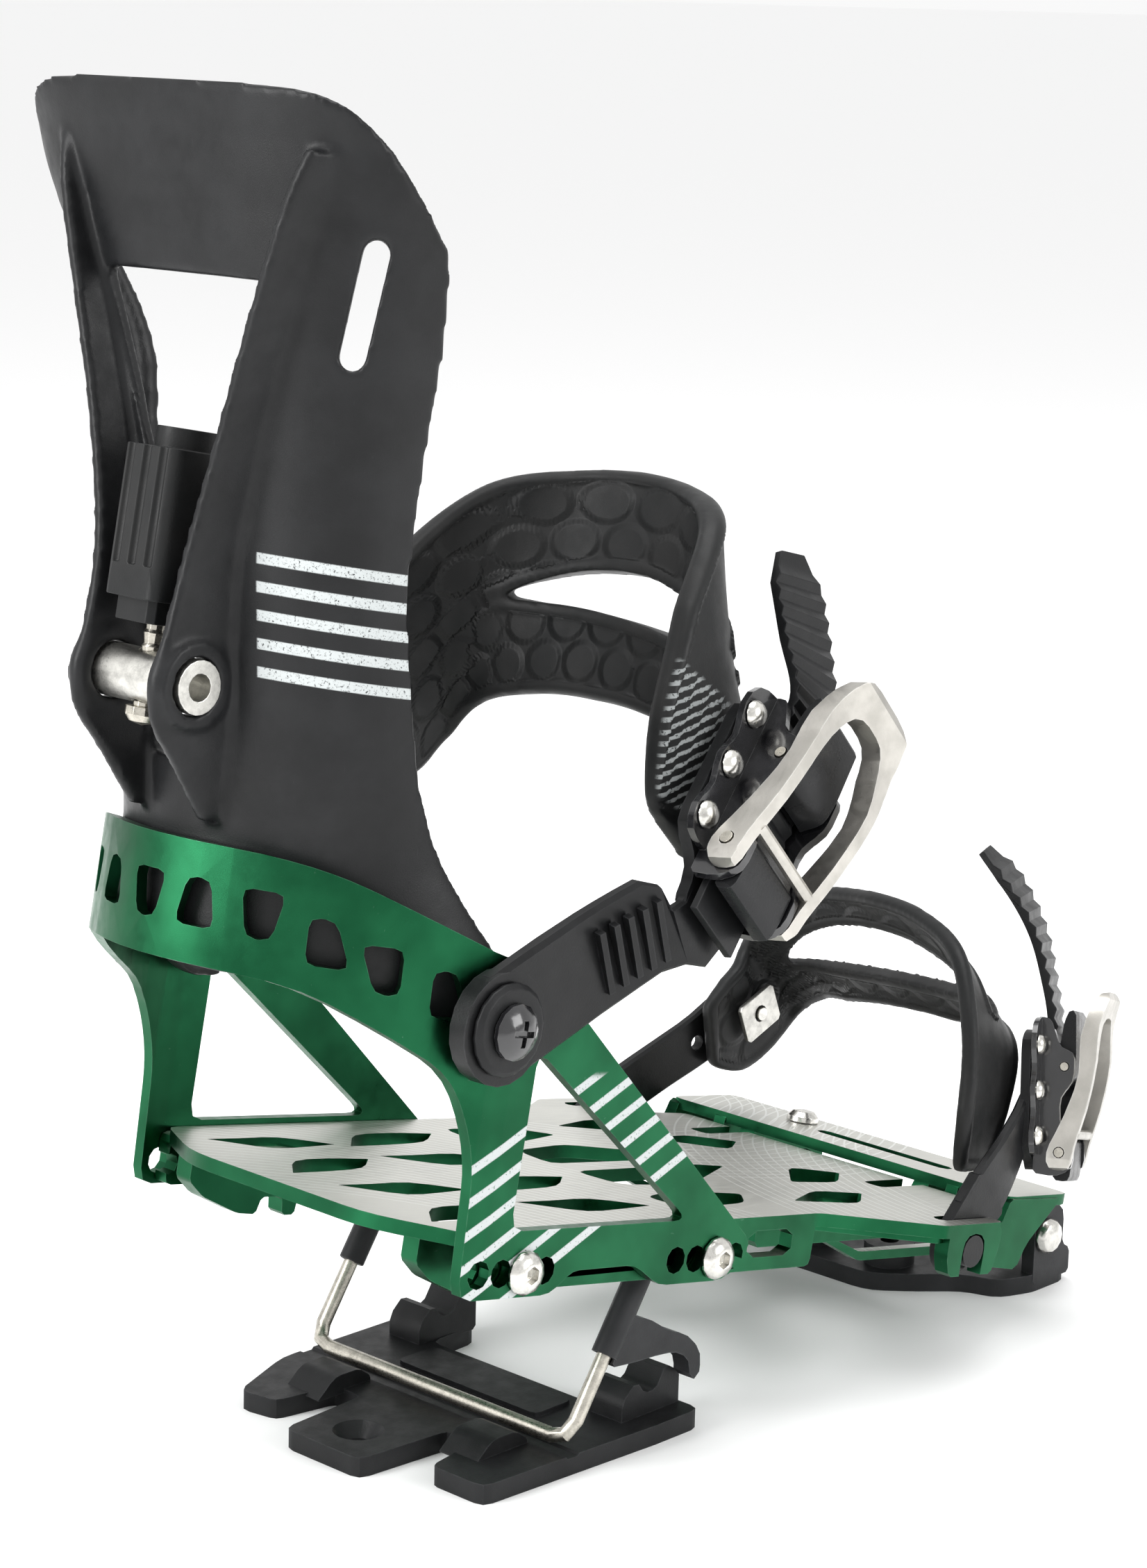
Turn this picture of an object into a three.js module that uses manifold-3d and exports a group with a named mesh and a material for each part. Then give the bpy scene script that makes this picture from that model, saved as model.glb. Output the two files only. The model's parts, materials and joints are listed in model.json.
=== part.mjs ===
import * as THREE from 'three';
import { mergeVertices } from 'three/addons/utils/BufferGeometryUtils.js';
import Module from 'manifold-3d';

const wasm = await Module();
wasm.setup();

// World frame: X toward the toe, Y to the medial side, Z up, board surface at z = 0.
// The tilted assembly is drawn in the plate frame: x = 0 at the rear plate screws,
// z = 0 on the line of plate screws, then pitched about the toe pins.
const PITCH = THREE.MathUtils.degToRad(10.9);
const PIN = { x: 220, z: -4, height: 15.2, radius: 3 };
const GAP = 0.3;

const PLATE = { outer: 56.1, thick: 3, pitch: 7.2, span: 67.4, hole: 3.3 };
const HOOP = { xc: -13.6, depth: 64.2, power: 1.9 };
const BASE = { half: 52.8, rail: 4, top: 8.2, skin: 3.4, bottom: -5.2, rear: -26, front: 178 };
const TOE = { x0: 141, x1: 163, half: 71, wall: 4.2, stubX: 152, stubZ: 1 };
const RAMP = { x0: 182, x1: 209, top: 11, half: 59.7, axleX: 167, axleZ: 1.2, slotX: 195, screwX: 200, screwY: 26 };
const EAR = { inner: 43, outer: 47, rear: -5, front: 8, height: 23 };
const ANKLE = { x: -23.7, z: 56.8 };
const NUT = { x: 203, z: 37 };
const BARREL = { x: -86.3, z: 121, radius: 6 };
const WIRE = { pivotX: 58.5, pivotZ: 0.8, barX: 39, barZ: -46.2, half: 43.7, radius: 1.9 };
const REST = { half: 47, rear: -214, front: -159, thick: 5 };

const group = new THREE.Group();
group.name = 'touring_binding';

const V = (x, y, z) => new THREE.Vector3(x, y, z);

function tilt(geometry) {
  geometry.translate(-PIN.x, 0, -PIN.z);
  geometry.rotateY(PITCH);
  geometry.translate(0, 0, PIN.height);
  return geometry;
}

function solidOf(geometry) {
  const bare = new THREE.BufferGeometry();
  bare.setAttribute('position', geometry.getAttribute('position').clone());
  if (geometry.index) bare.setIndex(geometry.index.clone());
  const merged = mergeVertices(bare, 1e-4);
  const all = merged.index.array;
  const kept = [];
  for (let t = 0; t < all.length; t += 3) {
    const [a, b, c] = [all[t], all[t + 1], all[t + 2]];
    if (a !== b && b !== c && c !== a) kept.push(a, b, c);
  }
  return new wasm.Manifold(new wasm.Mesh({
    numProp: 3,
    vertProperties: new Float32Array(merged.attributes.position.array),
    triVerts: new Uint32Array(kept),
  }));
}

function geometryOf(solid) {
  const raw = solid.getMesh();
  const count = raw.vertProperties.length / raw.numProp;
  const positions = new Float32Array(count * 3);
  for (let i = 0; i < count; i += 1) {
    positions[3 * i] = raw.vertProperties[i * raw.numProp];
    positions[3 * i + 1] = raw.vertProperties[i * raw.numProp + 1];
    positions[3 * i + 2] = raw.vertProperties[i * raw.numProp + 2];
  }
  const geometry = new THREE.BufferGeometry();
  geometry.setAttribute('position', new THREE.BufferAttribute(positions, 3));
  geometry.setIndex(new THREE.BufferAttribute(new Uint32Array(raw.triVerts), 1));
  geometry.computeVertexNormals();
  return geometry;
}

function finish(name, solid, look, tilted = true) {
  const geometry = geometryOf(solid);
  if (tilted) tilt(geometry);
  const mesh = new THREE.Mesh(geometry, new THREE.MeshStandardMaterial(look));
  mesh.name = name;
  group.add(mesh);
}

const LOOK = {
  green: { color: 0x2d5f41, roughness: 0.42, metalness: 0.85 },
  raw: { color: 0xb9b9af, roughness: 0.35, metalness: 0.95 },
  stainless: { color: 0xc9c6be, roughness: 0.22, metalness: 1.0 },
  steel: { color: 0xa9a294, roughness: 0.3, metalness: 1.0 },
  black: { color: 0x27292c, roughness: 0.55, metalness: 0.0 },
  rubber: { color: 0x2b2d30, roughness: 0.75, metalness: 0.0 },
  gloss: { color: 0x101112, roughness: 0.18, metalness: 0.6 },
  silver: { color: 0xb8b5ac, roughness: 0.3, metalness: 0.9 },
  slate: { color: 0x3c434a, roughness: 0.5, metalness: 0.1 },
  grey: { color: 0x5f6263, roughness: 0.45, metalness: 0.0 },
};

// ---- shapes -------------------------------------------------------------

function rounded(corners, radius, most = 3) {
  const shape = new THREE.Shape();
  const count = corners.length;
  for (let i = 0; i < count; i += 1) {
    const before = new THREE.Vector2(...corners[(i + count - 1) % count]);
    const here = new THREE.Vector2(...corners[i]);
    const after = new THREE.Vector2(...corners[(i + 1) % count]);
    const r = corners[i][2] ?? radius;
    const reach = Math.min(r, here.distanceTo(before) * 0.48, here.distanceTo(after) * 0.48);
    const start = here.clone().add(before.sub(here).setLength(reach));
    const end = here.clone().add(after.sub(here).setLength(reach));
    let steps = Math.min(most, 2);
    if (reach > 4) steps = most;
    if (reach < 1.7) steps = 1;
    if (i === 0) shape.moveTo(start.x, start.y);
    else shape.lineTo(start.x, start.y);
    for (let k = 1; k <= steps; k += 1) {
      const t = k / steps;
      const a = (1 - t) * (1 - t);
      const b = 2 * t * (1 - t);
      const c = t * t;
      shape.lineTo(
        a * start.x + b * here.x + c * end.x,
        a * start.y + b * here.y + c * end.y,
      );
    }
  }
  shape.closePath();
  return shape;
}

function oval(cx, cy, rx, ry, angle = 0, steps = 12) {
  const shape = new THREE.Shape();
  for (let i = 0; i < steps; i += 1) {
    const a = (i / steps) * Math.PI * 2;
    const x = rx * Math.cos(a);
    const y = ry * Math.sin(a);
    const px = cx + x * Math.cos(angle) - y * Math.sin(angle);
    const py = cy + x * Math.sin(angle) + y * Math.cos(angle);
    if (i === 0) shape.moveTo(px, py);
    else shape.lineTo(px, py);
  }
  shape.closePath();
  return shape;
}

function slotShape(cx, cy, length, width, angle = 0) {
  const shape = new THREE.Shape();
  const half = length / 2 - width / 2;
  const steps = 3;
  for (let side = 0; side < 2; side += 1) {
    for (let i = 0; i <= steps; i += 1) {
      const a = -Math.PI / 2 + side * Math.PI + (i / steps) * Math.PI;
      const x = (side === 0 ? half : -half) + (width / 2) * Math.cos(a);
      const y = (width / 2) * Math.sin(a);
      const px = cx + x * Math.cos(angle) - y * Math.sin(angle);
      const py = cy + x * Math.sin(angle) + y * Math.cos(angle);
      if (side === 0 && i === 0) shape.moveTo(px, py);
      else shape.lineTo(px, py);
    }
  }
  shape.closePath();
  return shape;
}

function extrude(shape, depth) {
  return new THREE.ExtrudeGeometry(shape, { depth, bevelEnabled: false, curveSegments: 6 });
}

// Shape in (x, z), filled between yMin and yMax.
function side(shape, yMin, yMax) {
  const geometry = extrude(shape, yMax - yMin);
  geometry.rotateX(Math.PI / 2);
  geometry.translate(0, yMax, 0);
  return solidOf(geometry);
}

// Shape in (x, y), filled between zMin and zMax.
function deck(shape, zMin, zMax) {
  const geometry = extrude(shape, zMax - zMin);
  geometry.translate(0, 0, zMin);
  return solidOf(geometry);
}

// Shape in (y, z), filled between xMin and xMax.
function front(shape, xMin, xMax) {
  const geometry = extrude(shape, xMax - xMin);
  const basis = new THREE.Matrix4().makeBasis(V(0, 1, 0), V(0, 0, 1), V(1, 0, 0));
  geometry.applyMatrix4(basis);
  geometry.translate(xMin, 0, 0);
  return solidOf(geometry);
}

function box(x0, x1, y0, y1, z0, z1) {
  const geometry = new THREE.BoxGeometry(x1 - x0, y1 - y0, z1 - z0);
  geometry.translate((x0 + x1) / 2, (y0 + y1) / 2, (z0 + z1) / 2);
  return solidOf(geometry);
}

// Cylinder with its axis along Y.
function rodY(x, z, radius, yMin, yMax, steps = 14) {
  const geometry = new THREE.CylinderGeometry(radius, radius, yMax - yMin, steps);
  geometry.translate(x, (yMin + yMax) / 2, z);
  return solidOf(geometry);
}

// Turned body around a Y axis; profile points are [radius, distance from yFace].
function turnedY(x, z, yFace, outward, profile, steps = 12) {
  const points = profile.map(([r, h]) => new THREE.Vector2(r, h));
  const geometry = new THREE.LatheGeometry(points, steps);
  if (outward < 0) geometry.rotateX(Math.PI);
  geometry.translate(x, yFace, z);
  return solidOf(geometry);
}

// Closed body through a list of equal-length point rings.
function loft(rings) {
  const count = rings[0].length;
  const positions = [];
  const index = [];
  rings.forEach((ring) => ring.forEach((p) => positions.push(p.x, p.y, p.z)));
  for (let j = 0; j + 1 < rings.length; j += 1) {
    for (let i = 0; i < count; i += 1) {
      const a = j * count + i;
      const b = j * count + ((i + 1) % count);
      index.push(a, b, a + count, b, b + count, a + count);
    }
  }
  [0, rings.length - 1].forEach((j, end) => {
    const centre = rings[j].reduce((sum, p) => sum.add(p), V(0, 0, 0)).divideScalar(count);
    const hub = positions.length / 3;
    positions.push(centre.x, centre.y, centre.z);
    for (let i = 0; i < count; i += 1) {
      const a = j * count + i;
      const b = j * count + ((i + 1) % count);
      if (end === 0) index.push(a, hub, b);
      else index.push(a, b, hub);
    }
  });
  return closed(positions, index);
}

function closed(positions, index) {
  let volume = 0;
  const p = (i) => V(positions[3 * i], positions[3 * i + 1], positions[3 * i + 2]);
  for (let t = 0; t < index.length; t += 3) {
    volume += p(index[t]).dot(p(index[t + 1]).cross(p(index[t + 2])));
  }
  const order = index.slice();
  if (volume < 0) {
    for (let t = 0; t < order.length; t += 3) {
      [order[t], order[t + 1]] = [order[t + 1], order[t]];
    }
  }
  const geometry = new THREE.BufferGeometry();
  geometry.setAttribute('position', new THREE.Float32BufferAttribute(positions, 3));
  geometry.setIndex(order);
  return solidOf(geometry);
}

// Flat band that follows stations {c, w, n, half, thick}: centre, width and normal directions.
function ribbon(stations, corner = 0.35) {
  const rings = stations.map((s) => {
    const w = s.w.clone().normalize();
    const n = s.n.clone().addScaledVector(w, -s.n.dot(w)).normalize();
    const t = s.thick / 2;
    const c = Math.min(corner * s.thick, s.half * 0.9);
    const square = [[s.half, -t], [s.half, t], [-s.half, t], [-s.half, -t]];
    const outline = corner === 0 ? square : [
      [s.half, -t + c], [s.half, t - c], [s.half - c, t], [-s.half + c, t],
      [-s.half, t - c], [-s.half, -t + c], [-s.half + c, -t], [s.half - c, -t],
    ];
    return outline.map(([a, b]) => s.c.clone().addScaledVector(w, a).addScaledVector(n, b));
  });
  return loft(rings);
}

// Smooth list of stations from sparse ones.
function resample(stations, count) {
  const centre = new THREE.CatmullRomCurve3(stations.map((s) => s.c), false, 'centripetal');
  const width = new THREE.CatmullRomCurve3(stations.map((s) => s.w), false, 'catmullrom');
  const normal = new THREE.CatmullRomCurve3(stations.map((s) => s.n), false, 'catmullrom');
  const value = (key, t) => {
    const at = t * (stations.length - 1);
    const i = Math.min(Math.floor(at), stations.length - 2);
    return stations[i][key] + (stations[i + 1][key] - stations[i][key]) * (at - i);
  };
  const samples = 240;
  const travelled = [0];
  for (let k = 1; k <= samples; k += 1) {
    const step = centre.getPoint(k / samples).distanceTo(centre.getPoint((k - 1) / samples));
    travelled.push(travelled[k - 1] + step);
  }
  const out = [];
  for (let k = 0; k < count; k += 1) {
    const want = (k / (count - 1)) * travelled[samples];
    const at = Math.min(Math.max(travelled.findIndex((d) => d >= want - 1e-9), 1), samples);
    const part = (want - travelled[at - 1]) / (travelled[at] - travelled[at - 1]);
    const t = Math.min((at - 1 + part) / samples, 1);
    out.push({
      c: centre.getPoint(t),
      w: width.getPoint(t),
      n: normal.getPoint(t),
      half: value('half', t),
      thick: value('thick', t),
    });
  }
  return out;
}

// ---- board side ---------------------------------------------------------

function tourBracket() {
  const plan = rounded([
    [-37, -15], [-29, -24], [-18, -34], [-16, -43], [-5, -EAR.outer, 2], [10, -EAR.outer, 3], [14, -30],
    [17, 0], [14, 30], [10, EAR.outer, 3], [-5, EAR.outer, 2], [-16, 43], [-18, 34], [-29, 24], [-37, 15],
  ], 5);
  let body = deck(plan, 0, 5);
  const ear = rounded([
    [EAR.rear, 2], [EAR.front + 3.4, 2], [EAR.front + 3.4, 9], [EAR.front, 11],
    [EAR.front, EAR.height, 5], [EAR.rear, EAR.height, 3],
  ], 1);
  body = body.add(side(ear, EAR.inner, EAR.outer)).add(side(ear, -EAR.outer, -EAR.inner));
  const boss = oval(-25, 0, 7, 7, 0, 18);
  for (const y of [-13, 13]) {
    const moved = new THREE.Shape(boss.getPoints().map((p) => new THREE.Vector2(p.x, p.y + y)));
    body = body.add(deck(moved, 3, 11));
    body = body.subtract(deck(oval(-25, y, 2.6, 2.6), -1, 12));
  }
  body = body.subtract(deck(oval(4, 28, 2.6, 2.6), -1, 6));
  body = body.subtract(deck(oval(4, -28, 2.6, 2.6), -1, 6));
  for (const y of [EAR.inner - 1, -EAR.outer - 1]) {
    body = body.subtract(rodY(0, PIN.height, PIN.radius + 0.2, y, y + 6.4));
  }
  finish('tour_bracket', body, LOOK.slate, false);
}

function toePins() {
  for (const [name, way] of [['toe_pin_medial', 1], ['toe_pin_lateral', -1]]) {
    const inner = 33.6;
    const profile = [
      [0, 0], [PIN.radius, 0], [PIN.radius, EAR.outer - inner + GAP], [4.9, EAR.outer - inner + GAP],
      [4.9, EAR.outer - inner + 1.2], [4.1, EAR.outer - inner + 2.5], [2.4, EAR.outer - inner + 3.3],
      [0, EAR.outer - inner + 3.6],
    ];
    finish(name, turnedY(0, PIN.height, way * inner, way, profile), LOOK.stainless, false);
  }
}

function heelRest() {
  const h = REST.half;
  const plan = rounded([
    [REST.rear, -h + 3], [REST.front + 1, -h, 2], [REST.front + 17, -h, 3], [REST.front + 17, -30, 3],
    [REST.front, -29, 3], [REST.front, 29, 3], [REST.front + 17, 30, 3], [REST.front + 17, h, 3],
    [REST.rear + 20, h, 4], [REST.rear - 2, h - 9, 3], [REST.rear, 27, 2], [REST.rear + 17, 24, 2],
    [REST.rear + 17, 15, 2], [REST.rear - 10, 13, 3], [REST.rear - 10, -13, 3],
    [REST.rear + 17, -15, 2], [REST.rear + 17, -24, 2], [REST.rear, -27, 2],
  ], 3);
  let body = deck(plan, 0, REST.thick);
  const bar = -185.5;
  for (const way of [-1, 1]) {
    const ramp = rounded([
      [-206, 4], [bar - 2.6, 4], [bar - 2.6, 6.2, 0.6], [-192, 9, 1], [-200, 9, 2],
    ], 0.5);
    body = body.add(side(ramp, way * 27 - 6, way * 27 + 6));
    const block = rounded([
      [-163, 4], [-142.5, 4], [-142.5, 13, 1], [-147.5, 16, 1.2], [-151, 10.5, 1],
      [-155, 10.5, 1], [-158, 14.5, 1.5], [-163, 10, 1.5],
    ], 1);
    body = body.add(side(block, way * 35 - 5.4, way * 35 + 5.4));
  }
  body = body.add(deck(rounded([[-176, -24], [-163, -24], [-163, 24], [-176, 24]], 2), 4, 6.2));
  const groove = rounded([[bar - 2.5, 10], [bar + 2.4, 10], [bar + 2.4, 4.4], [bar - 2.5, 4.4]], 0.8);
  body = body.subtract(side(groove, -h - 2, h + 2));
  body = body.subtract(deck(oval(REST.rear + 2, 0, 3, 3, 0, 20), -1, 7));
  const sink = new THREE.CylinderGeometry(6.4, 3, 3.4, 20).rotateX(Math.PI / 2);
  sink.translate(REST.rear + 2, 0, REST.thick - 1.6);
  body = body.subtract(solidOf(sink));
  finish('heel_rest', body, LOOK.black, false);
}

// ---- baseplate ----------------------------------------------------------

function leaf(cx, cy, length, width, lean) {
  const l = length / 2;
  const w = width / 2;
  return rounded([
    [cx - l, cy + lean * w, 0.4], [cx - l * 0.3, cy - w, 5], [cx + l * 0.45, cy - w * 0.8, 5],
    [cx + l, cy - lean * w * 0.6, 0.4], [cx + l * 0.35, cy + w, 5], [cx - l * 0.4, cy + w * 0.9, 5],
  ], 3, 2);
}

function baseplateOutline() {
  const h = BASE.half;
  return rounded([
    [BASE.rear, -30, 8], [BASE.rear + 8, -44, 5], [BASE.rear + 13, -h, 3], [110, -h, 2],
    [TOE.x0 - 2, -TOE.half, 1], [TOE.x1, -TOE.half, 1], [TOE.x1 + 0.4, -53, 1], [BASE.front, -50, 2],
    [BASE.front, 50, 2], [TOE.x1 + 0.4, 53, 1], [TOE.x1, TOE.half, 1], [TOE.x0 - 2, TOE.half, 1],
    [110, h, 2], [BASE.rear + 13, h, 3],
    [BASE.rear + 8, 44, 5], [BASE.rear, 30, 8],
  ], 3);
}

function baseplateCutouts() {
  const cuts = [];
  for (const [i, y] of [-34, -12, 12, 34].entries()) {
    cuts.push(leaf(2 + (i % 2) * 3, y, 34, 12, i % 2 ? 1 : -1));
    cuts.push(leaf(44, y, 38, 12, i % 2 ? -1 : 1));
  }
  for (const s of [-1, 1]) {
    cuts.push(rounded([[72, s * 42], [96, s * 40], [104, s * 32, 2], [84, s * 26], [70, s * 30]], 3));
    cuts.push(rounded([[74, s * 18], [96, s * 22, 4], [128, s * 6, 1], [120, s * 3, 1], [72, s * 4]], 4));
    cuts.push(rounded([[114, s * 41], [134, s * 47, 4], [146, s * 38, 1], [132, s * 33, 4]], 2));
    cuts.push(rounded([[134, s * 24], [150, s * 27, 4], [162, s * 18, 1], [150, s * 10, 4]], 2));
    cuts.push(rounded([[160, s * 27.2], [184, s * 27.2], [184, s * 33.8], [160, s * 33.8]], 2));
  }
  return cuts;
}

function baseplate() {
  const t = BASE.top;
  let body = deck(baseplateOutline(), t - BASE.skin, t);
  baseplateCutouts().forEach((cut) => {
    body = body.subtract(deck(cut, t - BASE.skin - 1, t + 1));
  });
  const railShape = rounded([
    [-15, BASE.bottom], [109, BASE.bottom], [109, t - 1], [-15, t - 1],
  ], 2);
  const tail = rounded([
    [-19, -1], [-14, -5], [-2, -9.5], [4, -10], [5.4, -5.8], [12.2, -5.8], [13, -10.6], [17, -10.6],
    [18, -3], [18, 6], [-19, 6],
  ], 0.8, 2);
  const neckShape = rounded([[105, BASE.bottom + 1], [168, BASE.bottom + 1], [168, 5.5], [105, 5.5]], 1.5);
  const lip = rounded([
    [138, BASE.bottom + 1.6], [150, -7.6], [PIN.x + 5.4, -7.8, 0.5], [PIN.x + 6, -5.6, 0.5],
    [PIN.x + 7.4, -5.6, 0.5], [PIN.x + 7.4, -9, 2], [PIN.x + 5.4, -10.2, 2], [150, -10], [134, BASE.bottom + 1.2],
  ], 1, 2);
  for (const s of [-1, 1]) {
    const band = (shape, a, b) => side(shape, s > 0 ? a : -b, s > 0 ? b : -a);
    body = body.add(band(railShape, BASE.half - BASE.rail, BASE.half));
    body = body.add(band(tail, 36, 41));
    body = body.add(band(neckShape, 34.2, 38));
    body = body.add(band(lip, 34.4, 37.4));
    const block = rounded([
      [TOE.x0, t - 1.2], [TOE.x0, 0], [TOE.x0 + 2, BASE.bottom], [TOE.x1 - 2, BASE.bottom],
      [TOE.x1, 2], [TOE.x1, t - 1.2],
    ], 1);
    body = body.add(band(block, TOE.half - TOE.wall, TOE.half));
    body = body.add(deck(rounded([
      [100, s * 47], [TOE.x0 + 2, s * 47], [TOE.x0 + 2, s * (TOE.half - 2)], [TOE.x0 - 3, s * (TOE.half - 2)], [112, s * 51],
    ], 2), t - BASE.skin - 1.6, t - 1));
    const slot = rounded([
      [TOE.stubX - 4.6, -9], [TOE.stubX + 4.6, -9], [TOE.stubX + 4.6, 5.6, 4.4],
      [TOE.stubX - 4.6, 5.6, 4.4],
    ], 1);
    body = body.subtract(band(slot, TOE.half - TOE.wall - 0.5, TOE.half + 1));
    const gate = rounded([
      [143.4, s * 62.2], [170, s * 62.2], [170, s * 66.4], [143.4, s * 66.4],
    ], 1.5);
    body = body.subtract(deck(gate, BASE.bottom - 6, t + 1));
    body = body.subtract(band(slotShape(92, 1.4, 18, 6.6), BASE.half - BASE.rail - 1, BASE.half + 1));
    const inner = BASE.half - BASE.rail - 1;
    for (const x of [-14.4, -7.2, 0, PLATE.span - 14.4, PLATE.span - 7.2, PLATE.span, PLATE.span + 7.2]) {
      const r = x === 0 || x === PLATE.span ? PLATE.hole : 2.6;
      body = body.subtract(rodY(x, 0, r, s > 0 ? inner : -BASE.half - 1, s > 0 ? BASE.half + 1 : -inner, 8));
    }
    body = body.subtract(rodY(WIRE.pivotX, WIRE.pivotZ, 2.2, s > 0 ? inner : -BASE.half + 0.6, s > 0 ? BASE.half - 0.6 : -inner, 10));
    body = body.subtract(rodY(RAMP.axleX, RAMP.axleZ, 2.3, s > 0 ? 34 : -39, s > 0 ? 39 : -34, 10));
  }
  finish('baseplate', body, LOOK.green);
}

function snapRamp() {
  const t = RAMP.top;
  let body = deck(rounded([
    [RAMP.x0, -RAMP.half + 0.5], [RAMP.x1, -RAMP.half + 0.5], [RAMP.x1, RAMP.half - 0.5],
    [RAMP.x0, RAMP.half - 0.5],
  ], 3), t - 3, t);
  body = body.subtract(deck(slotShape(RAMP.slotX, -7, 46, 4.6, Math.PI / 2), t - 4, t + 1));
  body = body.subtract(deck(oval(RAMP.screwX, RAMP.screwY, 2.3, 2.3), t - 4, t + 1));
  const cheek = rounded([
    [171, -1], [174, -5], [PIN.x - 12, -11, 2], [PIN.x - 5, -11, 1], [PIN.x - 4, -8, 0.5],
    [PIN.x - 4, -0.4, 3.2], [PIN.x + 4, -0.4, 3.2], [PIN.x + 4.1, -8, 0.5],
    [PIN.x + 5, -10, 1], [PIN.x + 8.6, -8, 2], [PIN.x + 8.6, 2, 4], [RAMP.x1 + 2, t, 3],
    [RAMP.x0, t - 0.5, 1], [RAMP.x0 - 1.5, 3.6, 1], [171, 3.6, 1],
  ], 1, 3);
  const skirt = rounded([
    [RAMP.x0 - 8, -7], [RAMP.x0 + 7, -8.6], [RAMP.x0 + 10, -2], [RAMP.x1 - 4, t - 1], [RAMP.x0, t - 0.5, 1],
    [RAMP.x0 - 3, 3.6], [RAMP.x0 - 8, 2],
  ], 1.5, 3);
  const arm = rounded([
    [RAMP.axleX - 5, RAMP.axleZ - 4, 3], [RAMP.x0 + 4, RAMP.axleZ - 4, 2], [RAMP.x0 + 12, t - 1, 2],
    [RAMP.x0 + 1, t - 1, 2], [RAMP.x0 - 2, RAMP.axleZ + 3.4, 2], [RAMP.axleX - 5, RAMP.axleZ + 3.4, 3],
  ], 2, 3);
  for (const s of [-1, 1]) {
    const band = (shape, a, b) => side(shape, s > 0 ? a : -b, s > 0 ? b : -a);
    body = body.add(band(cheek, 38.8, 42.6));
    body = body.add(band(skirt, RAMP.half - 3.6, RAMP.half));
    body = body.add(band(arm, 28, 33));
    body = body.subtract(rodY(RAMP.axleX, RAMP.axleZ, 2.3, s > 0 ? 27 : -34, s > 0 ? 34 : -27, 10));
  }
  finish('snap_ramp', body, LOOK.green);
}

function rampHardware() {
  for (const [name, s] of [['ramp_axle_medial', 1], ['ramp_axle_lateral', -1]]) {
    finish(name, rodY(RAMP.axleX, RAMP.axleZ, 2, s > 0 ? 27.4 : -38.3, s > 0 ? 38.3 : -27.4, 16), LOOK.steel);
  }
}

// ---- heel hoop and side plates -----------------------------------------

function hoopPlan(inset, steps = 24) {
  const half = PLATE.outer - inset;
  const depth = HOOP.depth - inset;
  const points = [];
  for (let i = 0; i <= steps; i += 1) {
    const a = -Math.PI / 2 + (i / steps) * Math.PI;
    const c = Math.abs(Math.cos(a)) ** (2 / HOOP.power);
    const s = Math.abs(Math.sin(a)) ** (2 / HOOP.power) * Math.sign(a);
    points.push([HOOP.xc - depth * c, half * s]);
  }
  return points;
}

function sidePlateProfile() {
  return rounded([
    [-19.6, -5.8, 4], [10, -5.8, 3], [17, -0.6, 2], [38.5, -0.4, 3], [48, -5.8, 3], [73, -5.8, 5],
    [81, 2.6, 4], [14, 52.6, 5], [-9, 70.6, 5], [-20.5, 71.4, 4], [-38, 77.6, 10], [-58, 85.4, 10],
    [-68, 87.6, 6], [-90, 87.8, 1], [-90, 61.4, 1], [-64, 61, 8], [-47, 53, 12], [-31, 45, 8],
    [-24.4, 34, 10], [-21, 24, 6],
  ], 3, 3);
}

function hoopHoles() {
  const cutters = [];
  const plan = hoopPlan(0, 144);
  const arc = [0];
  for (let i = 1; i < plan.length; i += 1) {
    arc.push(arc[i - 1] + Math.hypot(plan[i][0] - plan[i - 1][0], plan[i][1] - plan[i - 1][1]));
  }
  const middle = arc[arc.length - 1] / 2;
  for (let k = -5; k <= 5; k += 1) {
    const want = middle + k * 14.6;
    const i = arc.findIndex((s) => s >= want);
    const [x, y] = plan[i];
    const [ax, ay] = plan[Math.max(i - 3, 0)];
    const [bx, by] = plan[Math.min(i + 3, plan.length - 1)];
    const along = V(bx - ax, by - ay, 0).normalize();
    const out = V(-along.y, along.x, 0);
    if (out.x * (x + 20) + out.y * y < 0) out.negate();
    const drop = Math.abs(k) > 2 ? (Math.abs(k) - 2) * 4.1 : 0;
    const up = V(0, 0, 1).addScaledVector(along, Math.abs(k) > 2 ? Math.sign(k) * -0.22 : 0).normalize();
    const flip = k % 2 === 0 ? 1 : -1;
    const outline = rounded([
      [-4.9, 5.2 * flip], [4.9, 5.2 * flip], [2.9, -5.4 * flip], [-2.9, -5.4 * flip],
    ], 2.4, 2);
    const geometry = extrude(outline, 10);
    geometry.translate(0, 0, -6);
    geometry.applyMatrix4(new THREE.Matrix4().makeBasis(along, up, along.clone().cross(up)));
    geometry.translate(x, y, 74.6 - drop);
    cutters.push(solidOf(geometry));
  }
  return cutters;
}

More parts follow.
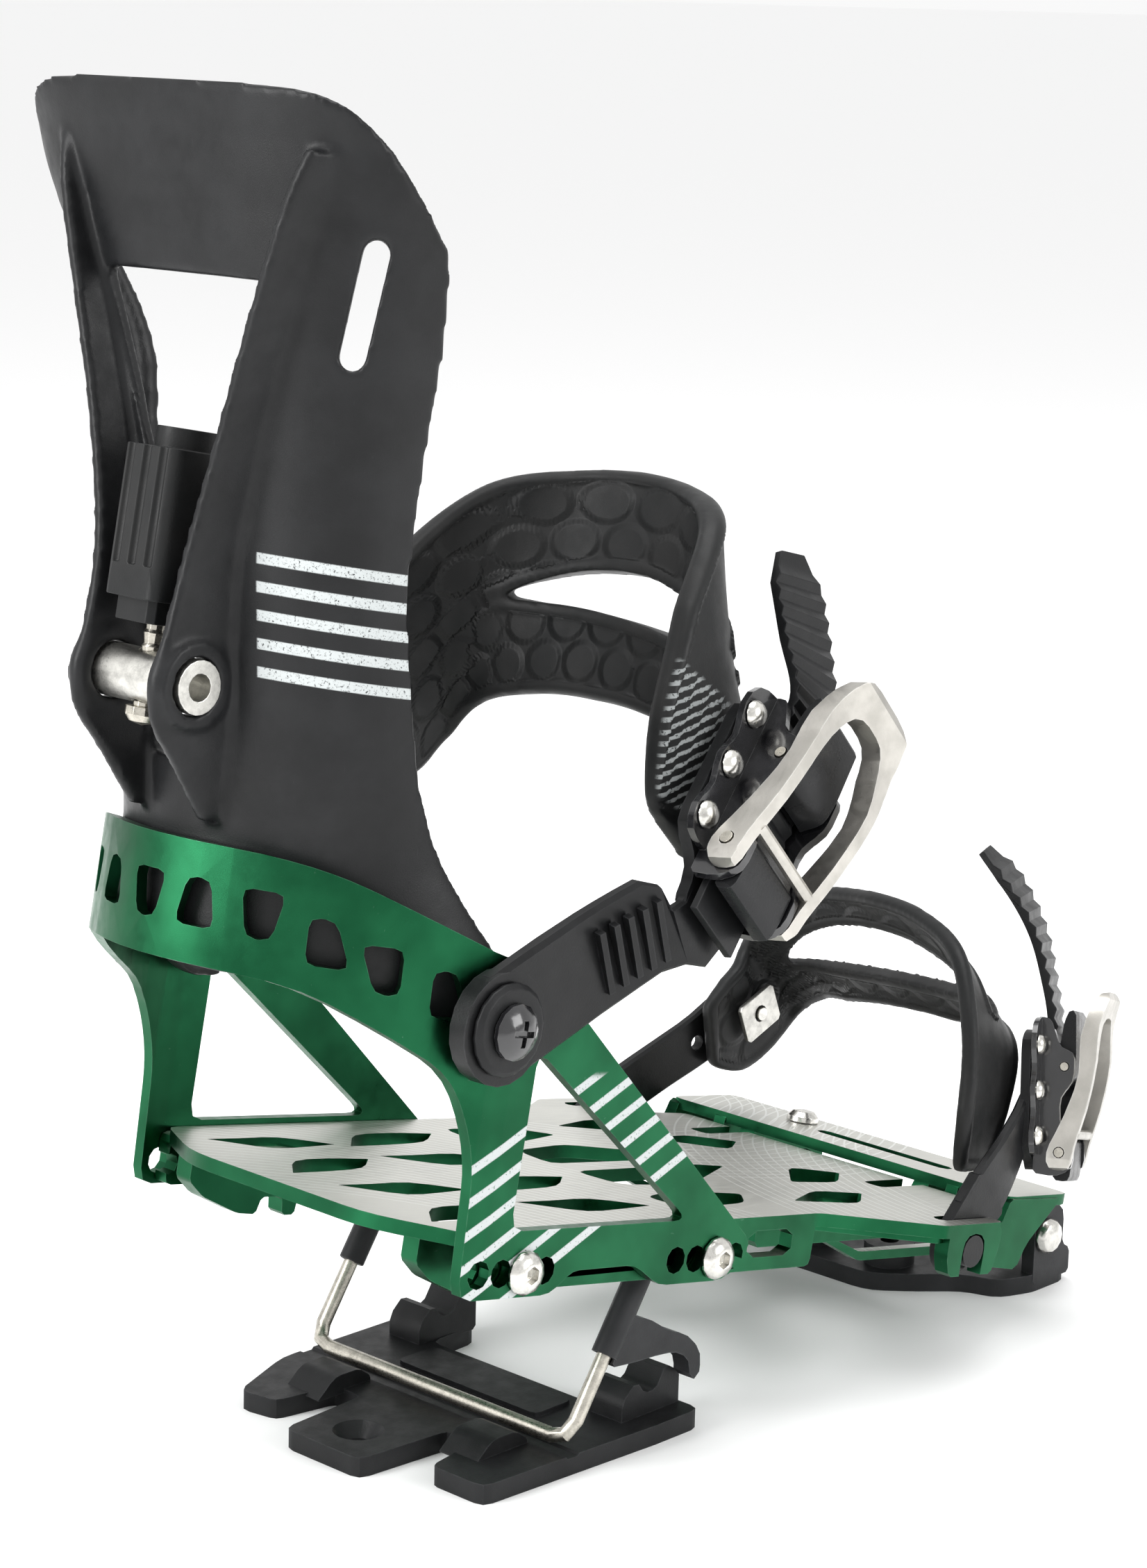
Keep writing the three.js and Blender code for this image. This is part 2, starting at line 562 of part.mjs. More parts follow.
function heelHoop() {
  const outer = hoopPlan(0);
  const inner = hoopPlan(PLATE.thick);
  const far = 90;
  const ring = new THREE.Shape();
  ring.moveTo(far, -PLATE.outer);
  ring.lineTo(far, -PLATE.outer + PLATE.thick);
  inner.forEach(([x, y]) => ring.lineTo(x, y));
  ring.lineTo(far, PLATE.outer - PLATE.thick);
  ring.lineTo(far, PLATE.outer);
  outer.reverse().forEach(([x, y]) => ring.lineTo(x, y));
  ring.closePath();
  let body = deck(ring, -8, 92);
  body = body.intersect(side(sidePlateProfile(), -70, 70));
  const windowShape = rounded([[-6.2, 9.6], [55, 9.6, 5], [-6.2, 51]], 4, 4);
  body = body.subtract(side(windowShape, -70, 70));
  for (const base of [0, PLATE.span]) {
    for (const step of [-2, -1, 0, 1]) {
      body = body.subtract(rodY(base + step * PLATE.pitch, 0, PLATE.hole, -70, 70, 10));
    }
  }
  body = body.subtract(rodY(ANKLE.x, ANKLE.z, 3.6, -70, 70, 16));
  hoopHoles().forEach((cutter) => {
    body = body.subtract(cutter);
  });
  finish('heel_hoop', body, LOOK.green);
}

function plateScrews() {
  for (const [where, x] of [['rear', 0], ['front', PLATE.span]]) {
    for (const [edge, s] of [['medial', 1], ['lateral', -1]]) {
      const start = BASE.half - BASE.rail - 3;
      const head = PLATE.outer - start + GAP;
      let body = turnedY(x, 0, s * start, s, [
        [0, 0], [3, 0], [3, head], [5.25, head], [5.25, head + 0.9], [4.4, head + 2.2], [2.9, head + 2.9],
        [0, head + 3],
      ], 12);
      const hex = new THREE.CylinderGeometry(2.1, 2.1, 4, 6);
      hex.translate(x, s * (PLATE.outer + GAP + 3), 0);
      body = body.subtract(solidOf(hex));
      finish(`plate_screw_${where}_${edge}`, body, LOOK.stainless);
    }
  }
}

// ---- climbing wire ------------------------------------------------------

function climbingWire() {
  const top = V(WIRE.pivotX, 0, WIRE.pivotZ);
  const bottom = V(WIRE.barX, 0, WIRE.barZ);
  const at = (t, y) => top.clone().lerp(bottom, t).setY(y);
  const h = WIRE.half;
  const bend = 0.1;
  const points = [
    at(0, -h - 7), at(0, -h - 1.6), at(0.04, -h - 0.2), at(bend, -h), at(1 - bend, -h), at(1 - 0.025, -h + 1.4),
    at(1, -h + 5), at(1, h - 5), at(1 - 0.025, h - 1.4), at(1 - bend, h), at(bend, h), at(0.04, h + 0.2),
    at(0, h + 1.6), at(0, h + 7),
  ];
  const rings = points.map((p, i) => {
    const a = points[Math.max(i - 1, 0)];
    const b = points[Math.min(i + 1, points.length - 1)];
    const ahead = b.clone().sub(a).normalize();
    const flat = bottom.clone().sub(top).cross(V(0, 1, 0)).normalize();
    const across = ahead.clone().cross(flat).normalize();
    const ring = [];
    for (let k = 0; k < 10; k += 1) {
      const w = (k / 10) * Math.PI * 2;
      ring.push(p.clone().addScaledVector(flat, WIRE.radius * Math.cos(w))
        .addScaledVector(across, WIRE.radius * Math.sin(w)));
    }
    return ring;
  });
  finish('climbing_wire', loft(rings), LOOK.steel);
}

function wireSleeves() {
  const top = V(WIRE.pivotX, 0, WIRE.pivotZ);
  const bottom = V(WIRE.barX, 0, WIRE.barZ);
  const axis = bottom.clone().sub(top);
  for (const [name, s] of [['wire_sleeve_medial', 1], ['wire_sleeve_lateral', -1]]) {
    const tube = (r, t0, t1) => {
      const geometry = new THREE.CylinderGeometry(r, r, axis.length() * (t1 - t0), 14);
      const turn = new THREE.Quaternion().setFromUnitVectors(V(0, 1, 0), axis.clone().normalize());
      geometry.applyQuaternion(turn);
      const mid = top.clone().lerp(bottom, (t0 + t1) / 2);
      geometry.translate(mid.x, s * WIRE.half, mid.z);
      return solidOf(geometry);
    };
    let body = tube(3.3, 0.13, 0.57);
    if (s < 0) {
      const hook = rounded([
        [52.6, -16, 1], [60, -17.5, 3], [66, -20.4, 4], [74.5, -22, 5], [80.6, -27, 3], [81, -33.4, 2],
        [77.6, -33.6, 2], [76.4, -28.4, 3], [71, -26, 4], [63, -26.6, 3], [56.6, -27.6, 3], [47.8, -28.4, 1],
      ], 2, 3);
      body = body.add(side(hook, -WIRE.half - 2.6, -WIRE.half + 2.6));
    }
    body = body.subtract(tube(WIRE.radius + GAP, 0.1, 0.68));
    finish(name, body, LOOK.slate);
  }
}

// ---- highback -----------------------------------------------------------

const SPINE = [
  [46, -8, -71.5, 51.6], [57, -11, -72.6, 51.8], [68, -16, -72.8, 51.4], [80, -26, -72.8, 47.6],
  [92, -35, -73.2, 44.2], [105, -42, -75, 43.2], [121, -47.5, -77, 42.8], [144, -54, -81, 42.6],
  [172, -58, -86, 45], [200, -61, -92, 48.4], [222, -66, -97.5, 50.4], [236, -74, -101, 51], [246, -84, -103.6, 51],
];

function spineAt(z) {
  let i = 0;
  while (i < SPINE.length - 2 && SPINE[i + 1][0] < z) i += 1;
  const [z0, f0, r0, w0] = SPINE[i];
  const [z1, f1, r1, w1] = SPINE[i + 1];
  const t = (z - z0) / (z1 - z0);
  return { edge: f0 + (f1 - f0) * t, rear: r0 + (r1 - r0) * t, half: w0 + (w1 - w0) * t };
}

function shellPoint(u, z, inset) {
  const s = spineAt(z);
  const blend = THREE.MathUtils.clamp((z - 88) / 60, 0, 1);
  const power = HOOP.power + blend * 0.7;
  const a = u * Math.PI / 2;
  const c = Math.abs(Math.cos(a)) ** (2 / power);
  const k = Math.abs(Math.sin(a)) ** (2 / power) * Math.sign(u);
  const flare = u > 0 ? THREE.MathUtils.smoothstep(z, 186, 232) : 0;
  const edge = s.edge - 13 * flare;
  const half = s.half + 7 * flare - inset;
  const depth = edge - s.rear - inset;
  return V(edge - depth * c, half * k, z);
}

function highbackShell() {
  const columns = 16;
  const rows = 10;
  const positions = [];
  const index = [];
  const levelTop = (u) => 246 - 27 * Math.abs(u) ** 5;
  const levelLow = (u) => 60 - 13.5 * THREE.MathUtils.smoothstep(Math.abs(u), 0.62, 0.92);
  const stride = columns + 1;
  for (const layer of [0, 1]) {
    for (let j = 0; j <= rows; j += 1) {
      for (let i = 0; i <= columns; i += 1) {
        const u = (i / columns) * 2 - 1;
        const z = levelLow(u) + (levelTop(u) - levelLow(u)) * (j / rows);
        const rim = j >= rows - 1 || i <= 1 || i >= columns - 1 ? 1.4 : 0;
        const p = shellPoint(u, z, layer === 0 ? 0 : 3.2 + rim);
        positions.push(p.x, p.y, p.z);
      }
    }
  }
  const id = (layer, j, i) => layer * stride * (rows + 1) + j * stride + i;
  for (let j = 0; j < rows; j += 1) {
    for (let i = 0; i < columns; i += 1) {
      index.push(id(0, j, i), id(0, j + 1, i), id(0, j, i + 1));
      index.push(id(0, j, i + 1), id(0, j + 1, i), id(0, j + 1, i + 1));
      index.push(id(1, j, i), id(1, j, i + 1), id(1, j + 1, i));
      index.push(id(1, j, i + 1), id(1, j + 1, i + 1), id(1, j + 1, i));
    }
  }
  const edge = (a, b) => index.push(id(0, ...a), id(0, ...b), id(1, ...a), id(1, ...a), id(0, ...b), id(1, ...b));
  for (let i = 0; i < columns; i += 1) {
    edge([0, i], [0, i + 1]);
    edge([rows, i + 1], [rows, i]);
  }
  for (let j = 0; j < rows; j += 1) {
    edge([j + 1, 0], [j, 0]);
    edge([j, columns], [j + 1, columns]);
  }
  return closed(positions, index);
}

function highbackRib(s) {
  const levels = [
    [92, -76, -66, 11.6], [104, -87, -68, 12.4], [112, -94.5, -70, 12.9], [121, -97, -72, 13.1],
    [131, -95, -74, 13.2], [150, -94, -77, 15], [176, -95.4, -81, 21.4], [200, -98, -87, 28.6],
    [222, -100, -90, 35.6], [234, -99, -92, 39.4],
  ];
  const rings = levels.map(([z, rear, fore, y]) => [
    V(rear, s * (y - 1.9), z), V(rear, s * (y + 1.5), z), V(fore, s * (y + 3), z), V(fore, s * (y - 3), z),
  ]);
  return loft(rings);
}

function highback() {
  let body = highbackShell();
  for (const s of [-1, 1]) {
    body = body.add(highbackRib(s));
    body = body.add(rodY(BARREL.x, BARREL.z, 9.4, s > 0 ? 10.6 : -16, s > 0 ? 16 : -10.6, 14));
  }
  const opening = rounded([
    [-27.5, 207, 3], [27.5, 207, 3], [12.5, 168, 4], [9.3, 150, 2], [9.3, 104, 4], [-9.3, 104, 4],
    [-9.3, 150, 2], [-12.5, 168, 4],
  ], 3, 3);
  body = body.subtract(front(opening, -120, -60));
  for (const s of [-1, 1]) {
    const slot = extrude(slotShape(0, 0, 27, 5.6, Math.PI / 2 + s * 0.1), 30);
    slot.translate(0, 0, -15);
    const out = V(-0.74, s * 0.67, 0.05).normalize();
    const along = V(0, 0, 1).cross(out).normalize();
    slot.applyMatrix4(new THREE.Matrix4().makeBasis(along, out.clone().cross(along), out));
    slot.translate(-80, s * 42.4, 205);
    body = body.subtract(solidOf(slot));
  }
  body = body.subtract(rodY(BARREL.x, BARREL.z, BARREL.radius + GAP, -30, 30, 20));
  body = body.subtract(rodY(ANKLE.x, ANKLE.z, 3.4, -70, 70, 16));
  finish('highback', body, LOOK.black);
}

function leanBarrel() {
  let body = rodY(BARREL.x, BARREL.z, BARREL.radius, -16.8, 16.8, 20);
  body = body.subtract(rodY(BARREL.x, BARREL.z, 3, 10, 18, 14)).subtract(rodY(BARREL.x, BARREL.z, 3, -18, -10, 14));
  const bore = new THREE.CylinderGeometry(2.9, 2.9, 20, 14).rotateX(Math.PI / 2);
  bore.translate(BARREL.x, 0, BARREL.z);
  body = body.subtract(solidOf(bore));
  finish('lean_barrel', body, LOOK.raw);
}

function leanRod() {
  const { x, z } = BARREL;
  const profile = [
    [0, z - 10.6], [3, z - 9.8], [4.1, z - 8.4], [4.1, z - 6.6], [2.5, z - 6.4],
  ];
  for (let k = 0; k < 6; k += 1) {
    const low = z - 6 + k * 3;
    profile.push([2.5, low + 0.4], [2.1, low + 1.2]);
  }
  profile.push([2.5, z + 17], [2.5, z + 30], [0, z + 30]);
  const geometry = new THREE.LatheGeometry(profile.map(([r, h]) => new THREE.Vector2(r, h)), 10);
  geometry.rotateX(Math.PI / 2);
  geometry.translate(x, 0, 0);
  finish('lean_rod', solidOf(geometry), LOOK.steel);
}

function leanBlock() {
  const { x, z } = BARREL;
  const low = z + 11.5;
  let body = deck(rounded([
    [x - 9.5, -7], [x - 7, -8.8], [x + 5.4, -8.8], [x + 5.4, 8.8], [x - 7, 8.8], [x - 9.5, 7],
  ], 1), low + 5, z + 49);
  body = body.add(deck(rounded([[x - 7.5, -6.4], [x + 5, -6.4], [x + 5, 6.4], [x - 7.5, 6.4]], 1.5), low, low + 9));
  body = body.add(deck(oval(x + 1.5, 0, 7.6, 6.6, 0, 16), z + 44, z + 53.5));
  for (const y of [-5.2, 0, 5.2]) {
    body = body.subtract(deck(oval(x - 10.4, y, 2, 1.5, 0, 10), low + 12, z + 60));
  }
  const bore = new THREE.CylinderGeometry(2.5 + GAP, 2.5 + GAP, 30, 14).rotateX(Math.PI / 2);
  bore.translate(x, 0, z + 16);
  body = body.subtract(solidOf(bore));
  finish('lean_block', body, LOOK.rubber);
}

// ---- strap hardware -----------------------------------------------------

// Tools that build solids inside a placed frame: x along the strap, y across it, z outward.
function framed(matrix, scale) {
  const put = (geometry) => {
    geometry.scale(scale, scale, scale);
    geometry.applyMatrix4(matrix);
    return solidOf(geometry);
  };
  return {
    point: (x, y, z) => V(x * scale, y * scale, z * scale).applyMatrix4(matrix),
    box: (x0, x1, y0, y1, z0, z1) => {
      const geometry = new THREE.BoxGeometry(x1 - x0, y1 - y0, z1 - z0);
      return put(geometry.translate((x0 + x1) / 2, (y0 + y1) / 2, (z0 + z1) / 2));
    },
    flat: (shape, z0, z1) => put(extrude(shape, z1 - z0).translate(0, 0, z0)),
    side: (shape, y0, y1) => {
      const geometry = extrude(shape, y1 - y0);
      geometry.rotateX(Math.PI / 2);
      return put(geometry.translate(0, y1, 0));
    },
    across: (x, z, radius, y0, y1, steps = 10) => {
      const geometry = new THREE.CylinderGeometry(radius, radius, y1 - y0, steps);
      return put(geometry.translate(x, (y0 + y1) / 2, z));
    },
    turned: (x, y, profile, steps = 10) => {
      const points = profile.map(([r, h]) => new THREE.Vector2(r, h));
      const geometry = new THREE.LatheGeometry(points, steps).rotateX(Math.PI / 2);
      return put(geometry.translate(x, y, 0));
    },
  };
}

function strapFrame(origin, along, outward) {
  const x = along.clone().normalize();
  const z = outward.clone().addScaledVector(x, -outward.dot(x)).normalize();
  const y = z.clone().cross(x);
  return new THREE.Matrix4().makeBasis(x, y, z).setPosition(origin);
}

const ANKLE_FRAME = strapFrame(V(49.5, -63.4, 108.2), V(0.594, 0.174, 0.786), V(0.1, -1, 0.14));
const TOE_FRAME = strapFrame(V(196.6, -55.4, 38.3), V(0.05, 0.2, 1), V(0.42, -0.9, 0.2));
const BUCKLE = { pivotX: -20, pivotZ: 7, pawlX: 8, pawlZ: 7.4, inner: 10.4, wall: 2 };

function buckleBase(prefix, f) {
  const b = BUCKLE;
  const outer = b.inner + b.wall;
  const cheek = rounded([
    [-27, -2], [24, -2], [24, 2.5, 2], [14, 6, 3], [13, 10.6, 3], [3, 10.6, 3], [-2, 6, 3], [-12, 6.5, 3],
    [-15, 11, 3], [-25, 11, 4], [-28, 6, 3],
  ], 1, 2);
  let body = f.flat(rounded([
    [-18, -outer], [24, -outer], [24, outer], [22, 20, 4], [15, 22.5, 4], [7, 19, 3], [0, 22.5, 4],
    [-7, 19, 3], [-15, 22.5, 4], [-21, 20, 4], [-21, outer, 2],
  ], 2, 2), -2, -0.3);
  body = body.add(f.side(cheek, b.inner, outer)).add(f.side(cheek, -outer, -b.inner));
  body = body.subtract(f.flat(slotShape(2, 0, 26, 9), -3, 1));
  body = body.subtract(f.across(b.pivotX, b.pivotZ, 1.9, -outer - 1, outer + 1));
  body = body.subtract(f.across(b.pawlX, b.pawlZ, 1.7, -outer - 1, outer + 1));
  body = body.subtract(rivetHoles(f));
  finish(`${prefix}_buckle_base`, body, LOOK.gloss);
}

// Tongue of the strap that lies under the buckle and takes its three rivets.
function buckleSeat(f, low) {
  const outline = rounded([
    [low, -9], [18, -8], [20, 12], [17, 20.6, 4], [-19, 20.6, 4], [-24, 10, 4], [low, 9],
  ], 2, 2);
  return f.flat(outline, -5.4, -2.3);
}

function rivetHoles(f) {
  const hole = (x) => f.turned(x, 17.6, [[0, -8], [1.9, -8], [1.9, 2], [0, 2]], 8);
  return hole(-14.8).add(hole(0)).add(hole(14.8));
}

function buckleRivets(prefix, f) {
  ['low', 'middle', 'high'].forEach((where, i) => {
    const body = f.turned(-14.8 + i * 14.8, 17.6, [
      [0, -5.2], [1.6, -5.2], [1.6, 0], [3.4, 0], [3.2, 1], [2.2, 1.9], [0, 2.3],
    ], 12);
    finish(`${prefix}_rivet_${where}`, body, LOOK.stainless);
  });
}

function buckleLever(prefix, f) {
  const b = BUCKLE;
  const plan = rounded([
    [-26, -16.4, 4], [16, -16.4, 8], [33, -11.5, 7], [33, 11.5, 7], [16, 16.4, 8], [-26, 16.4, 4],
  ], 4);
  const gap = rounded([
    [-40, -12.8, 1], [12, -12.8, 6], [24.5, -7, 5], [24.5, 7, 5], [12, 12.8, 6], [-40, 12.8, 1],
  ], 3);
  const curve = rounded([
    [-26, 3.2, 3], [-20, 2.6, 3], [-8, 8.6, 8], [6, 13.4, 8], [18, 12.4, 8], [30, 16.4, 4], [34, 19.4, 2],
    [32, 22, 2], [22, 18.6, 6], [10, 18.6, 8], [-6, 15.6, 8], [-18, 11.6, 4], [-26, 10.4, 3],
  ], 3, 2);
  let body = f.flat(plan, 0, 26).intersect(f.side(curve, -18, 18));
  body = body.subtract(f.flat(gap, -1, 27));
  body = body.add(f.across(b.pivotX + 6, b.pivotZ + 4.6, 1.6, -13.2, 13.2));
  body = body.subtract(f.across(b.pivotX, b.pivotZ, 1.9, -18, 18));
  finish(`${prefix}_lever`, body, LOOK.silver);
}

function buckleInner(prefix, f) {
  const b = BUCKLE;
  const pin = b.inner + b.wall + 4.4;
  finish(`${prefix}_lever_pin`, f.across(b.pivotX, b.pivotZ, 1.6, -pin, pin, 16), LOOK.steel);
  finish(`${prefix}_pawl_pin`, f.across(b.pawlX, b.pawlZ, 1.4, -b.inner - 2.4, b.inner + 2.4, 14), LOOK.steel);
  const pawl = rounded([
    [b.pawlX - 3.4, b.pawlZ + 2.6, 2], [b.pawlX - 6, 4.2, 0.4], [b.pawlX - 2, 4.4, 0.6],
    [b.pawlX + 3.2, b.pawlZ - 2.6, 2], [23, 6.6, 1], [27, 8.4, 1], [26, 10.4, 1],
    [b.pawlX + 3, b.pawlZ + 3.4, 2],
  ], 1, 3);
  let body = f.side(pawl, -b.inner + 0.6, b.inner - 0.6);
  body = body.subtract(f.across(b.pawlX, b.pawlZ, 1.7, -12, 12));
  finish(`${prefix}_pawl`, body, LOOK.grey);
  const block = rounded([
    [-29, 4.2, 1], [-12.6, 4.2, 1], [-11, 8, 2], [-15.6, 9.2, 1], [-16.4, 10.2, 1], [-24, 10.2, 2], [-29.6, 9.4, 2],
  ], 1, 3);
  let cover = f.side(block, -b.inner + 0.5, b.inner - 0.5);
  cover = cover.subtract(f.across(b.pivotX, b.pivotZ, 1.9, -12, 12));
  finish(`${prefix}_buckle_block`, cover, LOOK.grey);
}

function buckle(prefix, matrix, scale) {
  const f = framed(matrix, scale);
  buckleBase(prefix, f);
  buckleRivets(prefix, f);
  buckleLever(prefix, f);
  buckleInner(prefix, f);
}

// Toothed strap: flat inner face, saw teeth on the outer face.
function ladder(stations, teeth, from, to) {
  const fine = resample(stations, teeth * 2 + 1);
  const total = fine.length - 1;
  fine.forEach((s, i) => {
    const t = i / total;
    const tooth = t > from && t < to && i % 2 === 1 ? 1 : 0;
    const n = s.n.clone().normalize();
    s.c.addScaledVector(n, tooth * 0.5);
    s.thick += tooth;
    if (i > total - 4) s.half *= 1 - (i - total + 4) * 0.12;
  });
  return ribbon(fine, 0);
}

function strapBolt(name, s, reach) {
  const start = PLATE.outer - PLATE.thick - 10.6;
  let body = turnedY(ANKLE.x, ANKLE.z, s * start, s, [
    [0, 0], [5.6, 0], [5.6, 1.6], [3, 2], [3, reach - start], [6.4, reach - start], [6.4, reach - start + 1],
    [5, reach - start + 2.4], [2.6, reach - start + 3.2], [0, reach - start + 3.3],
  ], 14);
  const y0 = s * (reach + 2);
  const y1 = s * (reach + 6);
  for (const turn of [0, 1]) {
    const w = turn ? 0.7 : 3;
    const h = turn ? 3 : 0.7;
    body = body.subtract(box(
      ANKLE.x - w, ANKLE.x + w, Math.min(y0, y1), Math.max(y0, y1), ANKLE.z - h, ANKLE.z + h,
    ));
  }
  finish(name, body, LOOK.gloss);
}

function strapWasher(name, s, face) {
  let body = turnedY(ANKLE.x, ANKLE.z, s * face, s, [[0, 0], [10.6, 0], [10.6, 1], [9.4, 2], [0, 2]], 18);
  body = body.subtract(rodY(ANKLE.x, ANKLE.z, 3.3, -80, 80, 10));
  finish(name, body, LOOK.rubber);
}

function ankleMounting() {
  strapBolt('ankle_bolt_lateral', -1, 63.9);
  strapBolt('ankle_bolt_medial', 1, 62.9);
  strapWasher('ankle_washer_lateral', -1, 61.5);
  strapWasher('ankle_washer_medial', 1, 60.5);
}

function roundEye(x, z, radius, yMin, yMax) {
  return rodY(x, z, radius, yMin, yMax, 20);
}

function ankleExtender() {
  const f = framed(ANKLE_FRAME, 1);
  const up = V(-0.49, 0, 0.87);
  const out = V(0, -1, 0);
  const end = f.point(-27, 0, -3.9);
  const before = f.point(-37, 0, -3.9);
  const bend = V(-0.798, 0, 0.603);
  const stations = [
    { c: V(-23.7, -58.9, 56.8), w: up, n: out, half: 12.9, thick: 4.6 },
    { c: V(-8, -58.9, 65.6), w: up, n: out, half: 12.9, thick: 4.6 },
    { c: V(8, -60.2, 75), w: up, n: V(0, -1, -0.05), half: 12.6, thick: 4.2 },
    { c: V(19, -64, 82), w: V(-0.55, 0, 0.8), n: V(0.05, -1, 0), half: 12, thick: 3.8 },
    { c: before, w: bend, n: V(0.1, -1, 0.14), half: 9.8, thick: 3.1 },
    { c: end, w: bend, n: V(0.1, -1, 0.14), half: 9.2, thick: 3.1 },
  ];
  let body = ribbon(resample(stations, 13), 0.25).add(buckleSeat(f, -33));
  body = body.add(roundEye(-23.7, 56.8, 12.9, -61.2, -56.6));
  for (let k = 0; k < 5; k += 1) {
    const ridge = new THREE.BoxGeometry(1.6, 16, 2.2).translate(0, 0, 1.1);
    ridge.applyMatrix4(strapFrame(V(4 + k * 3.4, -61.4 - k * 0.8, 72.4 + k * 2.05), V(0.87, -0.2, 0.49), V(0, -1, -0.1)));
    body = body.add(solidOf(ridge));
  }
  body = body.subtract(rodY(ANKLE.x, ANKLE.z, 3.3, -80, 0, 16)).subtract(rivetHoles(f));
  finish('ankle_extender', body, LOOK.black);
}

function ankleLadder() {
  const f = framed(ANKLE_FRAME, 1);
  const w0 = V(-0.798, 0, 0.603);
  const n0 = V(0.1, -1, 0.14);
  const half = 9.4;
  const stations = [
    { c: f.point(-35, 0, 1.1), w: w0, n: n0, half, thick: 2 },
    { c: f.point(-20, 0, 1.1), w: w0, n: n0, half, thick: 2 },
    { c: f.point(0, 0, 1.1), w: w0, n: n0, half, thick: 2 },
    { c: f.point(22, 0, 1.6), w: w0, n: n0, half, thick: 2 },
    { c: V(64.8, -60.8, 133), w: V(-0.86, 0, 0.45), n: V(0.1, -1, 0.2), half, thick: 2 },
    { c: V(64.4, -56, 147), w: V(-0.95, 0, 0.2), n: V(0, -1, 0.3), half, thick: 2 },
    { c: V(62, -49, 168), w: V(-0.97, 0, 0.05), n: V(0, -0.94, 0.34), half: 8.6, thick: 2 },
  ];
  finish('ankle_ladder', ladder(stations, 24, 0.2, 0.97), LOOK.black);
}

function anklePadStations() {
  const list = [
    [32, 51.4, 100, -0.8, 0, 0.6, 0.1, 1, 0.05, 15],
    [37, 52, 113, -0.77, 0.04, 0.64, 0.15, 1, 0.08, 21],
    [45, 49.2, 131, -0.6, 0.08, 0.8, 0.4, 0.92, 0.15, 27],
    [53, 38.5, 146, -0.25, 0.05, 0.97, 0.8, 0.6, 0.15, 28],
    [58, 19, 152, 0.03, 0, 1, 0.95, 0.3, 0, 28],
    [59.6, 0, 153.6, 0.1, 0, 1, 1, 0, -0.1, 28.5],
  ];
  const build = (s, r) => ({
    c: V(r[0], s * r[1], r[2]),
    w: V(r[3], s * r[4] * -1, r[5]),
    n: V(r[6], s * r[7], r[8]),
    half: r[9],
    thick: 7,
  });
  const lateral = list.map((r) => build(-1, r));
  const medial = list.slice(0, -1).reverse().map((r) => build(1, r));
  return lateral.concat(medial);
}

function anklePad() {
  const stations = resample(anklePadStations(), 25);
  const last = stations.length - 1;
  stations.forEach((s, i) => {
    const end = Math.min(i, last - i);
    if (end < 3) {
      s.half *= [0.62, 0.84, 0.95][end];
      s.thick *= [0.5, 0.8, 0.95][end];
    }
  });
  let body = ribbon(stations, 0.42);
  const opening = stations.slice(6, 18).map((s, i, all) => {
    const t = i / (all.length - 1);
    const open = 0.5 + 5.2 * Math.sin(Math.PI * Math.min(1, 0.12 + t * 0.95)) ** 0.8;
    return {
      c: s.c.clone().addScaledVector(s.w.clone().normalize(), -2),
      w: s.w, n: s.n, half: Math.max(open, 0.5), thick: 16,
    };
  });
  body = body.subtract(ribbon(opening, 0));
  finish('ankle_pad', body, LOOK.rubber);
}

function ankleMedialStrap() {
  const up = V(-0.5, 0, 0.87);
  const stations = [
    { c: V(-23.7, 58.4, 56.8), w: up, n: V(0, 1, 0), half: 12, thick: 3.6 },
    { c: V(-4, 59.2, 68), w: up, n: V(0, 1, 0), half: 12, thick: 3.4 },
    { c: V(16, 61.6, 83), w: V(-0.65, 0, 0.76), n: V(0.05, 1, 0), half: 12, thick: 3.2 },
    { c: V(31, 62.6, 99), w: V(-0.8, 0, 0.6), n: V(0.1, 1, 0.05), half: 12, thick: 3.2 },
    { c: V(40.5, 61.6, 116), w: V(-0.78, 0, 0.62), n: V(0.2, 1, 0.1), half: 10, thick: 3.2 },
  ];
  let body = ribbon(resample(stations, 13), 0.25);
  body = body.add(roundEye(-23.7, 56.8, 12, 56.6, 60.2));
  body = body.subtract(rodY(ANKLE.x, ANKLE.z, 3.3, 0, 80, 16));
  for (const [x, z] of [[-4, 68], [8, 76.6]]) body = body.subtract(rodY(x, z, 2.6, 50, 75, 12));
  finish('ankle_medial_strap', body, LOOK.black);
}

// ---- toe strap ----------------------------------------------------------

function toeBandStations() {
  const row = (c, w, n, half, thick = 4.6) => ({ c: V(...c), w: V(...w), n: V(...n), half, thick });
  return [
    row([170, -53, 17], [0.95, 0.25, -0.05], [0.25, -1, 0], 11), row([172, -53, 33], [0.95, 0.25, -0.1], [0.25, -1, 0.05], 15),
    row([175, -50, 49], [0.94, 0.2, -0.25], [0.3, -0.9, 0.3], 17), row([181, -39, 61.5], [0.8, 0.1, -0.55], [0.45, -0.6, 0.6], 19),
    row([187, -20, 65], [0.68, 0, -0.73], [0.65, -0.2, 0.65], 20), row([191.5, 2, 65], [0.63, 0, -0.77], [0.77, 0, 0.63], 20),
    row([198, 25, 61.5], [0.63, -0.08, -0.77], [0.65, 0.35, 0.6], 19.5), row([205.5, 44, 54.5], [0.74, -0.2, -0.62], [0.35, 0.8, 0.4], 18),
    row([209.5, 53.2, 45.5], [0.8, -0.06, -0.6], [0.05, 1, 0.1], 16.5), row([205, 54.2, 38], [0.64, 0, -0.77], [0, 1, 0], 16),
    row([197, 54.2, 32.6], [0.46, 0, -0.89], [0, 1, 0], 15.4), row([187, 54.2, 29.4], [0.36, 0, -0.93], [0, 1, 0], 12),
  ];
}

